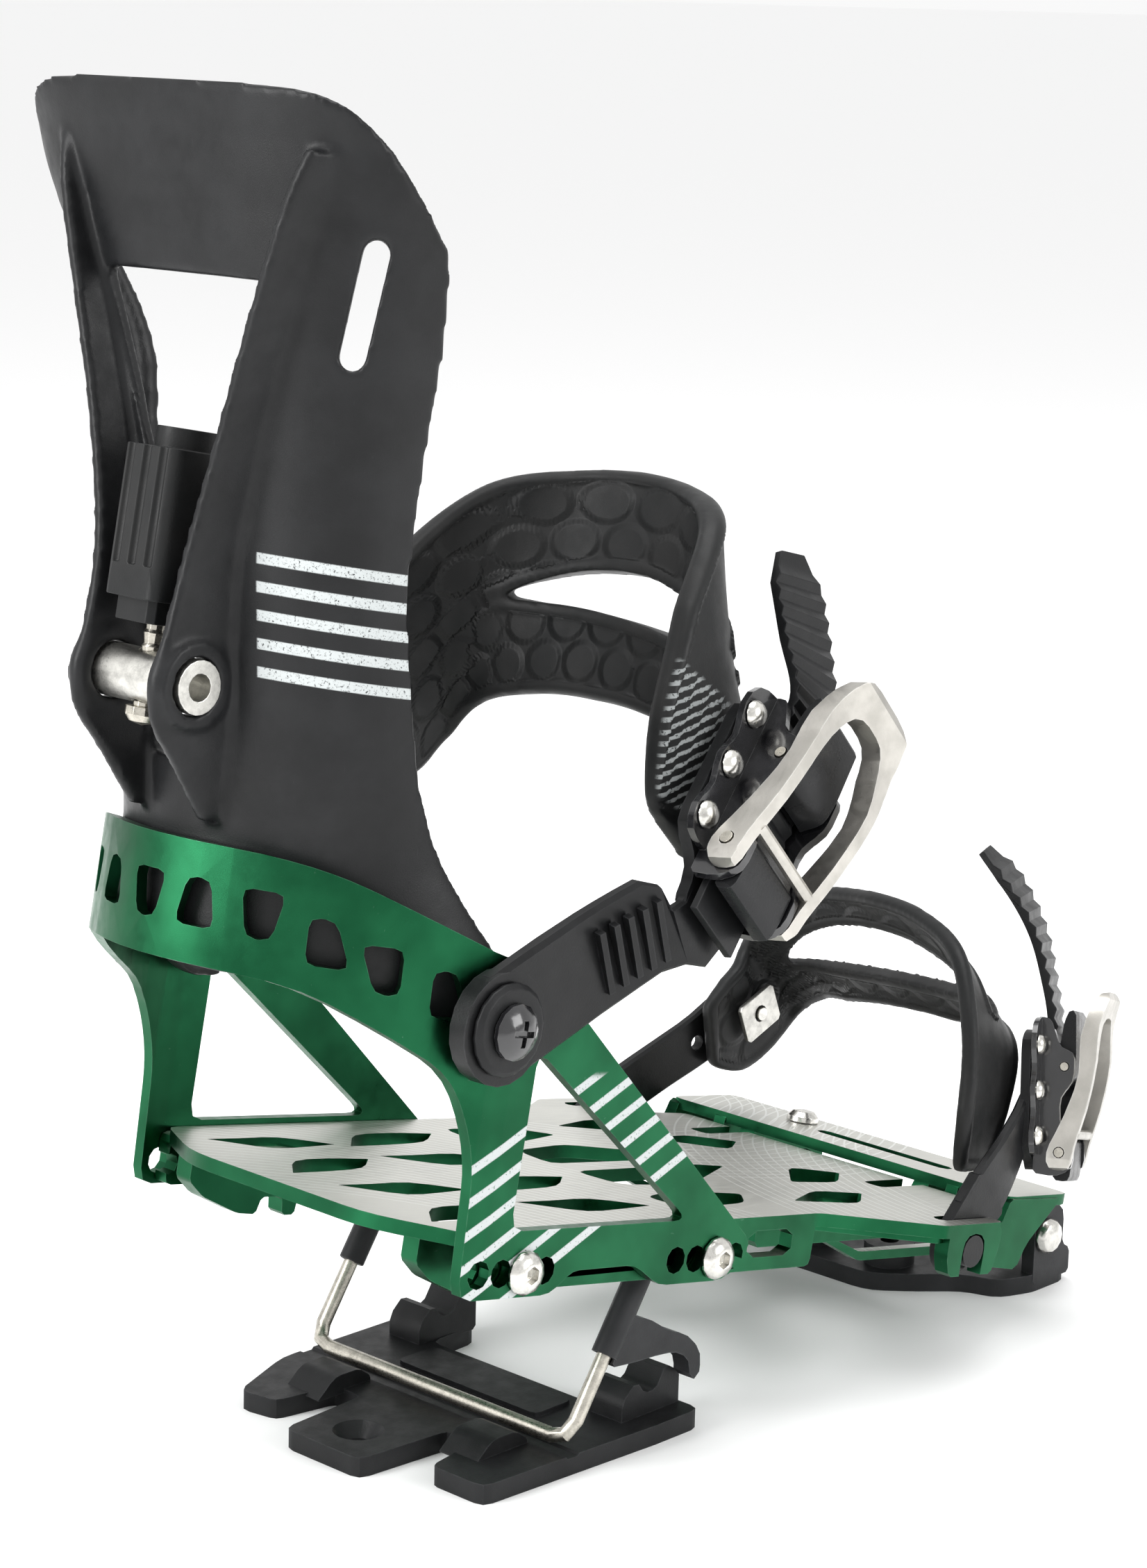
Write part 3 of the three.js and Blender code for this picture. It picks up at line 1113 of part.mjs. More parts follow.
function toeBand() {
  const stations = resample(toeBandStations(), 23);
  const last = stations.length - 1;
  stations.forEach((s, i) => {
    const end = Math.min(i, last - i);
    if (end < 2) s.half *= [0.7, 0.92][end];
  });
  let body = ribbon(stations, 0.3);
  const opening = stations.slice(5, 18).map((s, i, all) => {
    const t = i / (all.length - 1);
    return { c: s.c, w: s.w, n: s.n, half: 0.4 + 8.4 * Math.sin(Math.PI * t) ** 0.6, thick: 12 };
  });
  body = body.subtract(ribbon(opening, 0));
  body = body.subtract(rodY(NUT.x, NUT.z, 2.6, 40, 70, 12));
  finish('toe_band', body, LOOK.rubber);
}

function toeAnchorBlade(s, direction, reach) {
  const along = V(direction.x, 0, direction.z).normalize();
  const across = V(-along.z, 0, along.x);
  const yMin = s > 0 ? 62.7 : -65.9;
  const eye = rodY(TOE.stubX, TOE.stubZ, 7.4, yMin, yMin + 3.2, 20);
  const stub = rodY(TOE.stubX, TOE.stubZ, 4.2, s > 0 ? 64 : -TOE.half, s > 0 ? TOE.half : -64, 18);
  const corner = (a, b) => [
    TOE.stubX + along.x * a + across.x * b, TOE.stubZ + along.z * a + across.z * b,
  ];
  const blade = rounded([corner(-2, -7), corner(reach, -8.4), corner(reach, 8.4), corner(-2, 7)], 1, 2);
  return eye.add(stub).add(side(blade, yMin, yMin + 3.2));
}

function toeLateralStrap() {
  const f = framed(TOE_FRAME, 0.8);
  const direction = V(0.64, 0, 0.77);
  let body = toeAnchorBlade(-1, direction, 18);
  const across = V(-0.77, 0, 0.64);
  const stations = [
    { c: V(157.4, -64.3, 7.5), w: across, n: V(0, -1, 0), half: 8, thick: 3.2 },
    { c: V(163.5, -64.3, 14.8), w: across, n: V(0.05, -1, 0), half: 8, thick: 3.2 },
    { c: V(171, -63, 22.4), w: V(-0.7, -0.1, 0.7), n: V(0.2, -1, 0), half: 7.6, thick: 3 },
    { c: V(180, -59.6, 28.6), w: V(-0.62, -0.2, 0.76), n: V(0.36, -0.93, 0.05), half: 7.8, thick: 2.8 },
    { c: V(188.6, -55.4, 33), w: V(-0.6, -0.2, 0.77), n: V(0.42, -0.9, 0.15), half: 7.6, thick: 2.4 },
    { c: f.point(-3, -5, -4.1), w: V(-0.6, -0.2, 0.77), n: V(0.42, -0.9, 0.2), half: 6.6, thick: 2.2 },
  ];
  body = body.add(ribbon(resample(stations, 14), 0.25)).add(buckleSeat(f, -26));
  body = body.subtract(rivetHoles(f));
  finish('toe_lateral_strap', body, LOOK.black);
}

function toeMedialStrap() {
  let body = toeAnchorBlade(1, V(0.8, 0, 0.6), 18);
  const across = V(-0.6, 0, 0.8);
  const stations = [
    { c: V(159.2, 64.3, 6.4), w: across, n: V(0, 1, 0), half: 8, thick: 3.2 },
    { c: V(166, 64.3, 11.5), w: across, n: V(0, 1, 0), half: 8, thick: 3.2 },
    { c: V(176, 62.2, 18.6), w: V(-0.58, 0, 0.81), n: V(-0.15, 1, 0), half: 7.8, thick: 3.2 },
    { c: V(188, 59.8, 26.6), w: V(-0.54, 0, 0.84), n: V(-0.1, 1, 0), half: 8, thick: 3 },
    { c: V(200, 58.9, 34.6), w: V(-0.54, 0, 0.84), n: V(0, 1, 0), half: 9, thick: 3 },
    { c: V(209, 58.9, 40.2), w: V(-0.54, 0, 0.84), n: V(0, 1, 0), half: 7.4, thick: 3 },
  ];
  body = body.add(ribbon(resample(stations, 14), 0.25));
  body = body.subtract(rodY(NUT.x, NUT.z, 2.6, 40, 70, 12)).subtract(rodY(188, 26.6, 2.2, 40, 70, 12));
  finish('toe_medial_strap', body, LOOK.black);
}

function toeNut() {
  const along = V(0.84, 0, 0.54);
  const corner = (a, b) => [NUT.x + along.x * a - along.z * b, NUT.z + along.z * a + along.x * b];
  const shape = rounded([corner(-7.4, -6), corner(7.4, -6), corner(7.4, 6), corner(-7.4, 6)], 1);
  let plate = side(shape, 49.1, 50.5);
  plate = plate.subtract(rodY(NUT.x, NUT.z, 2.4, 40, 70, 12));
  finish('toe_nut_plate', plate, LOOK.raw);
  const body = turnedY(NUT.x, NUT.z, 48.3, 1, [
    [0, 0], [1.9, 0], [1.9, 12.4], [4.6, 12.4], [4.6, 13.4], [3.2, 14.4], [0, 14.6],
  ], 16);
  finish('toe_nut_screw', body, LOOK.stainless);
}

function toeLadder() {
  const f = framed(TOE_FRAME, 0.8);
  const w0 = V(-0.9, -0.42, 0.13);
  const n0 = V(0.42, -0.9, 0.2);
  const half = 7.4;
  const stations = [
    { c: f.point(-27, 0, 1.3), w: w0, n: n0, half, thick: 1.8 },
    { c: f.point(-14, 0, 1.3), w: w0, n: n0, half, thick: 1.8 },
    { c: f.point(2, 0, 1.3), w: w0, n: n0, half, thick: 1.8 },
    { c: f.point(22, 0, 1.8), w: w0, n: n0, half, thick: 1.8 },
    { c: V(199, -48.6, 66), w: V(-0.9, -0.42, 0.1), n: V(0.4, -0.85, 0.34), half, thick: 1.8 },
    { c: V(198, -42.6, 79), w: V(-0.92, -0.4, -0.02), n: V(0.33, -0.8, 0.5), half, thick: 1.8 },
    { c: V(194, -35, 90.5), w: V(-0.93, -0.36, -0.15), n: V(0.2, -0.75, 0.63), half: 6.8, thick: 1.8 },
    { c: V(189, -28, 98), w: V(-0.93, -0.34, -0.25), n: V(0.1, -0.72, 0.68), half: 6.2, thick: 1.8 },
  ];
  finish('toe_ladder', ladder(stations, 20, 0.2, 0.97), LOOK.black);
}

function stopScrew() {
  const body = solidOf(new THREE.LatheGeometry([
    [0, 0], [2, 0], [2, 3.6], [4.6, 3.6], [4.4, 5], [3, 6.4], [0, 6.8],
  ].map(([r, h]) => new THREE.Vector2(r, h)), 16).rotateX(Math.PI / 2).translate(RAMP.screwX, RAMP.screwY, RAMP.top - 3.3));
  finish('ramp_stop_screw', body, LOOK.stainless);
}

tourBracket();
toePins();
heelRest();
baseplate();
snapRamp();
rampHardware();
stopScrew();
heelHoop();
plateScrews();
climbingWire();
wireSleeves();
highback();
leanBarrel();
leanRod();
leanBlock();
ankleMounting();
ankleExtender();
ankleLadder();
anklePad();
ankleMedialStrap();
buckle('ankle', ANKLE_FRAME, 1);
toeBand();
toeLateralStrap();
toeMedialStrap();
toeNut();
toeLadder();
buckle('toe', TOE_FRAME, 0.8);

export default group;
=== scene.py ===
"""Touring binding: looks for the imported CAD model, in metres, in the CAD frame."""
import json
import math

import bmesh
import bpy
from mathutils import Matrix, Vector, kdtree

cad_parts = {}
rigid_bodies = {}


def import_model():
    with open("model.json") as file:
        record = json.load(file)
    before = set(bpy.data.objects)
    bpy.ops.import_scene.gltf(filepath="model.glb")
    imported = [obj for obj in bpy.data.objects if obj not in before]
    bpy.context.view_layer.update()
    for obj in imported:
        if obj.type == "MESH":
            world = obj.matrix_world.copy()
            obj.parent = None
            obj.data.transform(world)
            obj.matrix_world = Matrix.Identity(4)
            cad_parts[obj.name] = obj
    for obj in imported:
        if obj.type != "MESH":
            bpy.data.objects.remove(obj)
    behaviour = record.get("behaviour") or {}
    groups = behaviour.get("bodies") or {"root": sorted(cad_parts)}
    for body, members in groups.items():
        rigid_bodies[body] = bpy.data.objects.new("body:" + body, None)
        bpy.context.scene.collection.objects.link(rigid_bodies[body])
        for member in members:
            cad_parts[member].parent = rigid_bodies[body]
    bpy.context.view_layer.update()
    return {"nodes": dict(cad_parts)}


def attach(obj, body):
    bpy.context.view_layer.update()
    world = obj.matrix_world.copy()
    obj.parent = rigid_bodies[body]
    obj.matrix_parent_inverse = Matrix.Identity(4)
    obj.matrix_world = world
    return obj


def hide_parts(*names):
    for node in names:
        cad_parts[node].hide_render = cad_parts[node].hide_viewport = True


for leftover in list(bpy.data.objects):
    bpy.data.objects.remove(leftover)
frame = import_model()
nodes = frame["nodes"]

MM = 0.001
# The plate frame that the tilted assembly is drawn in: pitch about the toe pins, in mm.
PITCH = math.radians(10.9)
PIN_X, PIN_Z, PIN_HEIGHT = 220.0, -4.0, 15.2


def world(x, y, z):
    """A point of the plate frame, in mm, as a place in the scene, in metres."""
    xb, zb = x - PIN_X, z - PIN_Z
    return Vector((
        xb * math.cos(PITCH) + zb * math.sin(PITCH),
        y,
        PIN_HEIGHT + zb * math.cos(PITCH) - xb * math.sin(PITCH),
    )) * MM


# ---- material building ----------------------------------------------------

class Surface:
    """A Principled material with short calls for the nodes that colour and roughen it."""

    def __init__(self, name, **numbers):
        self.material = bpy.data.materials.new(name)
        self.material.use_nodes = True
        self.tree = self.material.node_tree
        self.shader = self.tree.nodes["Principled BSDF"]
        self.object_place = self.add("ShaderNodeTexCoord").outputs["Object"]
        self.plate_place = None
        self.set(**numbers)

    def add(self, kind):
        return self.tree.nodes.new(kind)

    def set(self, **numbers):
        for name, value in numbers.items():
            self.shader.inputs[name.replace("_", " ")].default_value = value

    def put(self, value, socket):
        """A number, colour or output into an input."""
        if isinstance(value, bpy.types.NodeSocket):
            self.tree.links.new(value, socket)
        elif isinstance(value, (tuple, list)) and len(value) == 3 and len(socket.default_value) == 4:
            socket.default_value = (*value, 1.0)
        else:
            socket.default_value = value

    def math(self, operation, a, b=0.0, c=0.0, clamp=False):
        node = self.add("ShaderNodeMath")
        node.operation = operation
        node.use_clamp = clamp
        for value, socket in zip((a, b, c), node.inputs):
            self.put(value, socket)
        return node.outputs[0]

    def vector(self, operation, a, b=(0.0, 0.0, 0.0)):
        node = self.add("ShaderNodeVectorMath")
        node.operation = operation
        self.put(a, node.inputs[0])
        self.put(b, node.inputs[1])
        return node.outputs["Value" if operation in ("DOT_PRODUCT", "LENGTH", "DISTANCE") else "Vector"]

    def smooth(self, value, low, high, to_low=0.0, to_high=1.0):
        """value taken from low..high to to_low..to_high, smoothly, and clamped."""
        node = self.add("ShaderNodeMapRange")
        node.interpolation_type = "SMOOTHSTEP"
        for number, socket in zip((value, low, high, to_low, to_high), node.inputs):
            self.put(number, socket)
        return node.outputs[0]

    def noise(self, size_mm, detail=3.0, roughness=0.55, stretch=(1.0, 1.0, 1.0), place=None):
        """Noise with grains of about size_mm."""
        mapping = self.add("ShaderNodeMapping")
        self.put(place or self.object_place, mapping.inputs["Vector"])
        mapping.inputs["Scale"].default_value = stretch
        node = self.add("ShaderNodeTexNoise")
        self.put(mapping.outputs[0], node.inputs["Vector"])
        node.inputs["Scale"].default_value = 1.0 / (size_mm * (MM if place is None else 1.0))
        node.inputs["Detail"].default_value = detail
        node.inputs["Roughness"].default_value = roughness
        return node.outputs["Fac"]

    def cells(self, size_mm):
        node = self.add("ShaderNodeTexVoronoi")
        self.put(self.object_place, node.inputs["Vector"])
        node.inputs["Scale"].default_value = 1.0 / (size_mm * MM)
        return node.outputs["Distance"]

    def blend(self, share, a, b):
        node = self.add("ShaderNodeMix")
        node.data_type = "RGBA"
        self.put(share, node.inputs[0])
        self.put(a, node.inputs[6])
        self.put(b, node.inputs[7])
        return node.outputs[2]

    def number(self, share, a, b):
        node = self.add("ShaderNodeMix")
        self.put(share, node.inputs[0])
        self.put(a, node.inputs[2])
        self.put(b, node.inputs[3])
        return node.outputs[0]

    def plate(self):
        """Plate frame coordinates in mm, as separate numbers and as a vector."""
        if self.plate_place is None:
            node = self.add("ShaderNodeMapping")
            self.put(self.object_place, node.inputs["Vector"])
            node.inputs["Scale"].default_value = (1000.0, 1000.0, 1000.0)
            node.inputs["Rotation"].default_value = (0.0, -PITCH, 0.0)
            node.inputs["Location"].default_value = (
                PIN_HEIGHT * math.sin(PITCH) + PIN_X, 0.0, PIN_Z - PIN_HEIGHT * math.cos(PITCH))
            parts = self.add("ShaderNodeSeparateXYZ")
            self.put(node.outputs[0], parts.inputs[0])
            self.plate_place = (*parts.outputs[:3], node.outputs[0])
        return self.plate_place

    def facing(self, x, y, z):
        """Cosine between the surface normal and a direction of the plate frame."""
        aim = Vector((x, y, z)).normalized()
        turned = (aim.x * math.cos(PITCH) + aim.z * math.sin(PITCH), aim.y,
                  aim.z * math.cos(PITCH) - aim.x * math.sin(PITCH))
        return self.vector("DOT_PRODUCT", self.add("ShaderNodeNewGeometry").outputs["Normal"], turned)

    def worn(self, radius_mm=0.9, low=0.06, high=0.3):
        """1 along outward edges, broken up by noise, and 0 elsewhere."""
        bevel = self.add("ShaderNodeBevel")
        bevel.samples = 4
        bevel.inputs["Radius"].default_value = radius_mm * MM
        normal = self.add("ShaderNodeNewGeometry").outputs["Normal"]
        turn = self.math("SUBTRACT", 1.0, self.vector("DOT_PRODUCT", bevel.outputs[0], normal))
        broken = self.math("MULTIPLY", turn, self.smooth(self.noise(2.6, 4.0), 0.32, 0.68, 0.2, 1.5))
        return self.smooth(broken, low, high)

    def bumped(self, *layers):
        """Bumps from (height, distance in mm) layers."""
        normal = None
        for height, distance_mm in layers:
            node = self.add("ShaderNodeBump")
            node.inputs["Strength"].default_value = 1.0
            node.inputs["Distance"].default_value = distance_mm * MM
            self.put(height, node.inputs["Height"])
            if normal is not None:
                self.put(normal, node.inputs["Normal"])
            normal = node.outputs[0]
        self.put(normal, self.shader.inputs["Normal"])

    def wear(self, colour=None, roughness=None, metallic=None):
        for name, value in (("Base Color", colour), ("Roughness", roughness), ("Metallic", metallic)):
            if value is not None:
                self.put(value, self.shader.inputs[name])
        return self.material

    def within(self, value, low, high, edge=0.15):
        """1 where value lies from low to high."""
        return self.math("MULTIPLY", self.smooth(value, low - edge, low + edge),
                         self.smooth(value, high - edge, high + edge, 1.0, 0.0))

    def hypotenuse(self, a, b):
        """Length of the step (a, b)."""
        squares = self.math("ADD", self.math("MULTIPLY", a, a), self.math("MULTIPLY", b, b))
        return self.math("SQRT", squares)

    def held(self, name):
        """A number stored on the mesh's points."""
        node = self.add("ShaderNodeAttribute")
        node.attribute_name = name
        return node.outputs["Fac"]

    def honeycomb(self, along, across, pitch):
        """Rounded six-sided cells: 1 in their middles and 0 in the grooves between them."""
        half, rise = pitch / 2, pitch * math.sqrt(3.0) / 2
        a = self.math("PINGPONG", along, half)
        b = self.math("PINGPONG", across, rise)
        far_a, far_b = self.math("SUBTRACT", half, a), self.math("SUBTRACT", rise, b)
        near = self.hypotenuse(a, b)
        other = self.hypotenuse(far_a, far_b)
        return self.smooth(self.math("MINIMUM", near, other), pitch * 0.34, pitch * 0.52, 1.0, 0.0)



# ---- materials --------------------------------------------------------------

GREEN = (0.016, 0.118, 0.05)
GREEN_DEEP = (0.009, 0.072, 0.03)
RAW = (0.62, 0.615, 0.57)
PRINT = (0.5, 0.53, 0.53)


def brushed(s, size=0.35):
    """Fine drawn lines along the deck, as a bump height and roughness share."""
    place = s.plate()[3]
    return s.noise(size, 3.0, 0.6, stretch=(0.05, 1.0, 1.0), place=place)


def etched_arcs(s):
    """Families of thin concentric arcs cut in the deck's top face."""
    x, y = s.plate()[:2]
    lines = None
    for cx, cy, start, stop, pitch in (
        (-60.0, -70.0, 70.0, 150.0, 3.1), (150.0, 95.0, 62.0, 118.0, 3.4), (250.0, -80.0, 96.0, 150.0, 3.1),
    ):
        dx = s.math("SUBTRACT", x, cx)
        dy = s.math("SUBTRACT", y, cy)
        reach = s.hypotenuse(dx, dy)
        fine = s.smooth(s.math("PINGPONG", reach, pitch / 2), 0.16, 0.36, 1.0, 0.0)
        family = s.math("MULTIPLY", fine, s.within(reach, start, stop, 0.5))
        lines = family if lines is None else s.math("MAXIMUM", lines, family)
    return lines


def anodised(name, raw_top=False, printed=False):
    s = Surface(name, Metallic=1.0, Specular_IOR_Level=0.5)
    cloud = s.noise(26.0, 3.0)
    grain = s.noise(0.16, 2.0, 0.7)
    colour = s.blend(s.smooth(cloud, 0.3, 0.7), GREEN, GREEN_DEEP)
    roughness = s.smooth(s.noise(4.0, 5.0, 0.65), 0.25, 0.75, 0.27, 0.4)
    scuffs = s.smooth(s.noise(0.5, 4.0, 0.7, stretch=(0.12, 1.0, 0.35)), 0.69, 0.74)
    colour = s.blend(s.math("MULTIPLY", scuffs, 0.25), colour, (0.16, 0.3, 0.22))
    rubbed = s.worn(0.5, 0.1, 0.45)
    colour = s.blend(s.math("MULTIPLY", rubbed, 0.4), colour, (0.14, 0.3, 0.2))
    bumps = [(grain, 0.018)]
    metallic = 1.0
    if raw_top:
        top = s.smooth(s.facing(0, 0, 1), 0.93, 0.97)
        lines = s.math("MULTIPLY", etched_arcs(s), top)
        drawn = brushed(s)
        bare = s.blend(s.smooth(s.noise(34.0, 2.0), 0.3, 0.7), RAW, (0.5, 0.5, 0.46))
        bare = s.blend(s.smooth(drawn, 0.3, 0.7), bare, (0.68, 0.68, 0.63))
        bare = s.blend(s.math("MULTIPLY", lines, 0.75), bare, (0.86, 0.87, 0.84))
        colour = s.blend(top, colour, bare)
        roughness = s.number(top, roughness, s.smooth(drawn, 0.2, 0.8, 0.3, 0.46))
        bumps.append((s.math("MULTIPLY", s.math("ADD", drawn, s.math("MULTIPLY", lines, -1.4)), top), 0.02))
    if printed:
        mark = s.math("MULTIPLY", side_plate_print(s), s.smooth(s.facing(0, -1, 0), 0.9, 0.95))
        colour = s.blend(mark, colour, PRINT)
        roughness = s.number(mark, roughness, 0.55)
        metallic = s.smooth(mark, 0.3, 0.7, 1.0, 0.0)
    s.bumped(*bumps)
    return s.wear(colour, roughness, metallic)


def side_plate_print(s):
    """Plain slanted stripes of one width on the lateral side plate."""
    x, y, z = s.plate()[:3]
    across = s.math("ADD", s.math("MULTIPLY", z, 0.86), s.math("MULTIPLY", x, -0.5))
    stripes = s.smooth(s.math("PINGPONG", s.math("ADD", across, 200.0), 3.4), 0.9, 1.2, 1.0, 0.0)
    zone = s.math("MULTIPLY", s.within(across, -7.0, 36.0, 0.6), s.smooth(z, 44.0, 46.0, 1.0, 0.0))
    zone = s.math("MULTIPLY", zone, s.smooth(y, -50.0, -48.0, 1.0, 0.0))
    fleck = s.smooth(s.noise(0.7, 3.0, 0.7), 0.3, 0.42)
    return s.math("MULTIPLY", s.math("MULTIPLY", stripes, zone), fleck)


def highback_print(s):
    """Plain level stripes of one width on the shell's lateral face."""
    y, z = s.plate()[1:3]
    u = s.math("SUBTRACT", s.math("MULTIPLY", y, -1.0), 20.0)
    stripes = s.smooth(s.math("PINGPONG", z, 3.0), 1.0, 1.3, 1.0, 0.0)
    zone = s.math("MULTIPLY", s.within(u, 1.5, 23.5, 0.3), s.within(z, 123.0, 153.0, 0.3))
    flecks = s.smooth(s.noise(0.55, 4.0, 0.75), 0.34, 0.46)
    facing = s.smooth(s.facing(-0.55, -0.83, 0.0), 0.25, 0.4)
    return s.math("MULTIPLY", s.math("MULTIPLY", stripes, zone), s.math("MULTIPLY", facing, flecks))


def moulded(name, dark=0.0075, gloss=0.42, grain_mm=0.35, printed=False, tint=(0.95, 0.98, 1.05)):
    """Injection-moulded plastic: fine spark-eroded grain, slight mottling and paler rubbed edges."""
    s = Surface(name, Specular_IOR_Level=0.24)
    base = tuple(dark * t for t in tint)
    light = tuple(dark * 1.75 * t for t in tint)
    colour = s.blend(s.smooth(s.noise(18.0, 4.0), 0.3, 0.72), base, light)
    rubbed = s.worn(0.7, 0.08, 0.4)
    colour = s.blend(s.math("MULTIPLY", rubbed, 0.55), colour, tuple(min(1.0, dark * 8.0 * t) for t in tint))
    scratch = s.smooth(s.noise(0.9, 5.0, 0.75, stretch=(1.0, 1.0, 0.08)), 0.66, 0.72)
    colour = s.blend(s.math("MULTIPLY", scratch, 0.16), colour, tuple(min(1.0, dark * 6.0 * t) for t in tint))
    roughness = s.smooth(s.noise(5.0, 5.0, 0.6), 0.25, 0.75, gloss - 0.07, gloss + 0.09)
    if printed:
        mark = highback_print(s)
        colour = s.blend(mark, colour, PRINT)
        roughness = s.number(mark, roughness, 0.6)
    s.bumped((s.noise(grain_mm, 2.0, 0.6), 0.03), (s.noise(3.0, 3.0), 0.02))
    return s.wear(colour, roughness)


def foam_tone(s, dark):
    """Faint clouds of bloom on soft black skin."""
    clouds = s.smooth(s.noise(22.0, 4.0), 0.3, 0.7)
    return s.blend(clouds, (dark * 0.9, dark, dark * 1.05), (dark * 1.8,) * 3)


def rubber(name, dark=0.007):
    """Soft moulded foam skin: satin, with faint cloudy bloom."""
    s = Surface(name, Specular_IOR_Level=0.24, Sheen_Weight=0.02, Sheen_Roughness=0.5)
    colour = foam_tone(s, dark)
    roughness = s.smooth(s.noise(9.0, 4.0), 0.25, 0.75, 0.36, 0.55)
    s.bumped((s.noise(0.5, 3.0, 0.65), 0.04), (s.cells(1.1), 0.012))
    return s.wear(colour, roughness)


def pad_skin(name, reach, dark=0.007):
    """Moulded pad: six-sided cells on its inner side, and faint stripes outside over the reach along it."""
    s = Surface(name, Specular_IOR_Level=0.24, Sheen_Weight=0.02, Sheen_Roughness=0.5)
    along, across, side = s.held("along"), s.held("across"), s.held("side")
    inner = s.smooth(side, -0.2, -0.7)
    flat = s.smooth(s.math("ABSOLUTE", s.held("rim")), 0.4, 0.9)
    cells = s.honeycomb(s.math("MULTIPLY", along, 0.8), across, 11.5)
    cells = s.math("MULTIPLY", cells, s.math("MULTIPLY", inner, flat))
    colour = foam_tone(s, dark)
    stripes = s.smooth(s.math("PINGPONG", s.math("ADD", across, along), 1.7), 0.5, 0.8, 1.0, 0.0)
    zone = s.math("MULTIPLY", s.within(along, reach[0], reach[1], 0.8), s.smooth(side, 0.3, 0.8))
    mark = s.math("MULTIPLY", s.math("MULTIPLY", stripes, zone), s.smooth(s.noise(0.8, 3.0, 0.7), 0.34, 0.46))
    colour = s.blend(s.math("MULTIPLY", mark, 0.5), colour, PRINT)
    roughness = s.smooth(s.noise(9.0, 4.0), 0.25, 0.75, 0.38, 0.56)
    s.bumped((s.noise(0.5, 3.0, 0.65), 0.035), (cells, 0.7))
    return s.wear(colour, roughness)


def steel(name, tone, rough, stretch=(1.0, 1.0, 1.0)):
    """Bright steel: drawn or turned marks, with dull spots in its hollows."""
    s = Surface(name, Metallic=1.0)
    dull = tuple(c * 0.62 for c in tone)
    colour = s.blend(s.smooth(s.noise(3.0, 5.0, 0.7), 0.35, 0.75), tone, dull)
    marks = s.noise(0.22, 4.0, 0.7, stretch=stretch)
    roughness = s.smooth(marks, 0.25, 0.75, rough * 0.75, rough * 1.35)
    s.bumped((marks, 0.012))
    return s.wear(colour, roughness)


def lever_metal(name):
    """Cast and tumbled lever: warm satin silver with soft grain and rubbed ridges."""
    s = Surface(name, Metallic=1.0)
    colour = s.blend(s.smooth(s.noise(8.0, 4.0), 0.3, 0.7), (0.56, 0.54, 0.5), (0.44, 0.425, 0.39))
    colour = s.blend(s.math("MULTIPLY", s.worn(0.8, 0.05, 0.3), 0.7), colour, (0.74, 0.73, 0.7))
    roughness = s.smooth(s.noise(2.0, 5.0, 0.7), 0.25, 0.75, 0.28, 0.42)
    s.bumped((s.noise(0.28, 3.0, 0.7), 0.03), (s.noise(1.6, 3.0), 0.02))
    return s.wear(colour, roughness)


def gloss_black(name):
    """Black coated steel: glossy coat with orange-peel ripple, bare metal along its edges."""
    s = Surface(name, Specular_IOR_Level=0.6, Coat_Weight=0.7, Coat_Roughness=0.09)
    rubbed = s.worn(0.45, 0.12, 0.5)
    colour = s.blend(s.smooth(s.noise(6.0, 4.0), 0.3, 0.75), (0.006, 0.006, 0.007), (0.014, 0.014, 0.016))
    colour = s.blend(s.math("MULTIPLY", rubbed, 0.55), colour, (0.2, 0.2, 0.2))
    roughness = s.smooth(s.noise(3.0, 4.0), 0.25, 0.75, 0.14, 0.26)
    s.bumped((s.noise(0.9, 2.0), 0.03))
    return s.wear(colour, roughness)


def make_materials():
    black = moulded("moulded_black_look", 0.008, 0.42)
    return {
        "green": anodised("green_look"),
        "green_printed": anodised("green_printed_look", printed=True),
        "green_deck": anodised("green_deck_look", raw_top=True),
        "black": black,
        "shell": moulded("shell_look", 0.008, 0.38, printed=True),
        "strap": moulded("strap_look", 0.006, 0.34, grain_mm=0.5),
        "slate": moulded("slate_look", 0.014, 0.46),
        "grey": moulded("grey_look", 0.008, 0.28, grain_mm=0.8),
        "rubber": rubber("rubber_look"),
        "stainless": steel("stainless_look", (0.78, 0.765, 0.72), 0.2),
        "wire": steel("wire_look", (0.6, 0.57, 0.5), 0.3, stretch=(0.3, 0.3, 1.0)),
        "raw": steel("raw_look", (0.66, 0.65, 0.61), 0.33),
        "lever": lever_metal("lever_look"),
        "gloss": gloss_black("gloss_look"),
    }


# ---- finishing the CAD nodes ---------------------------------------------------

def node_group(name, build):
    tree = bpy.data.node_groups.new(name, "GeometryNodeTree")
    tree.interface.new_socket("Geometry", in_out="INPUT", socket_type="NodeSocketGeometry")
    tree.interface.new_socket("Geometry", in_out="OUTPUT", socket_type="NodeSocketGeometry")
    start, end = tree.nodes.new("NodeGroupInput"), tree.nodes.new("NodeGroupOutput")
    build(tree, start.outputs[0], end.inputs[0])
    return tree


def joined_group():
    """Joins the faces that the import keeps apart, and drops their stored normals."""
    def build(tree, source, target):
        merge = tree.nodes.new("GeometryNodeMergeByDistance")
        merge.inputs["Distance"].default_value = 0.000004
        drop = tree.nodes.new("GeometryNodeRemoveAttribute")
        drop.inputs["Name"].default_value = "custom_normal"
        tree.links.new(source, merge.inputs["Geometry"])
        tree.links.new(merge.outputs[0], drop.inputs["Geometry"])
        tree.links.new(drop.outputs[0], target)
    return node_group("joined", build)


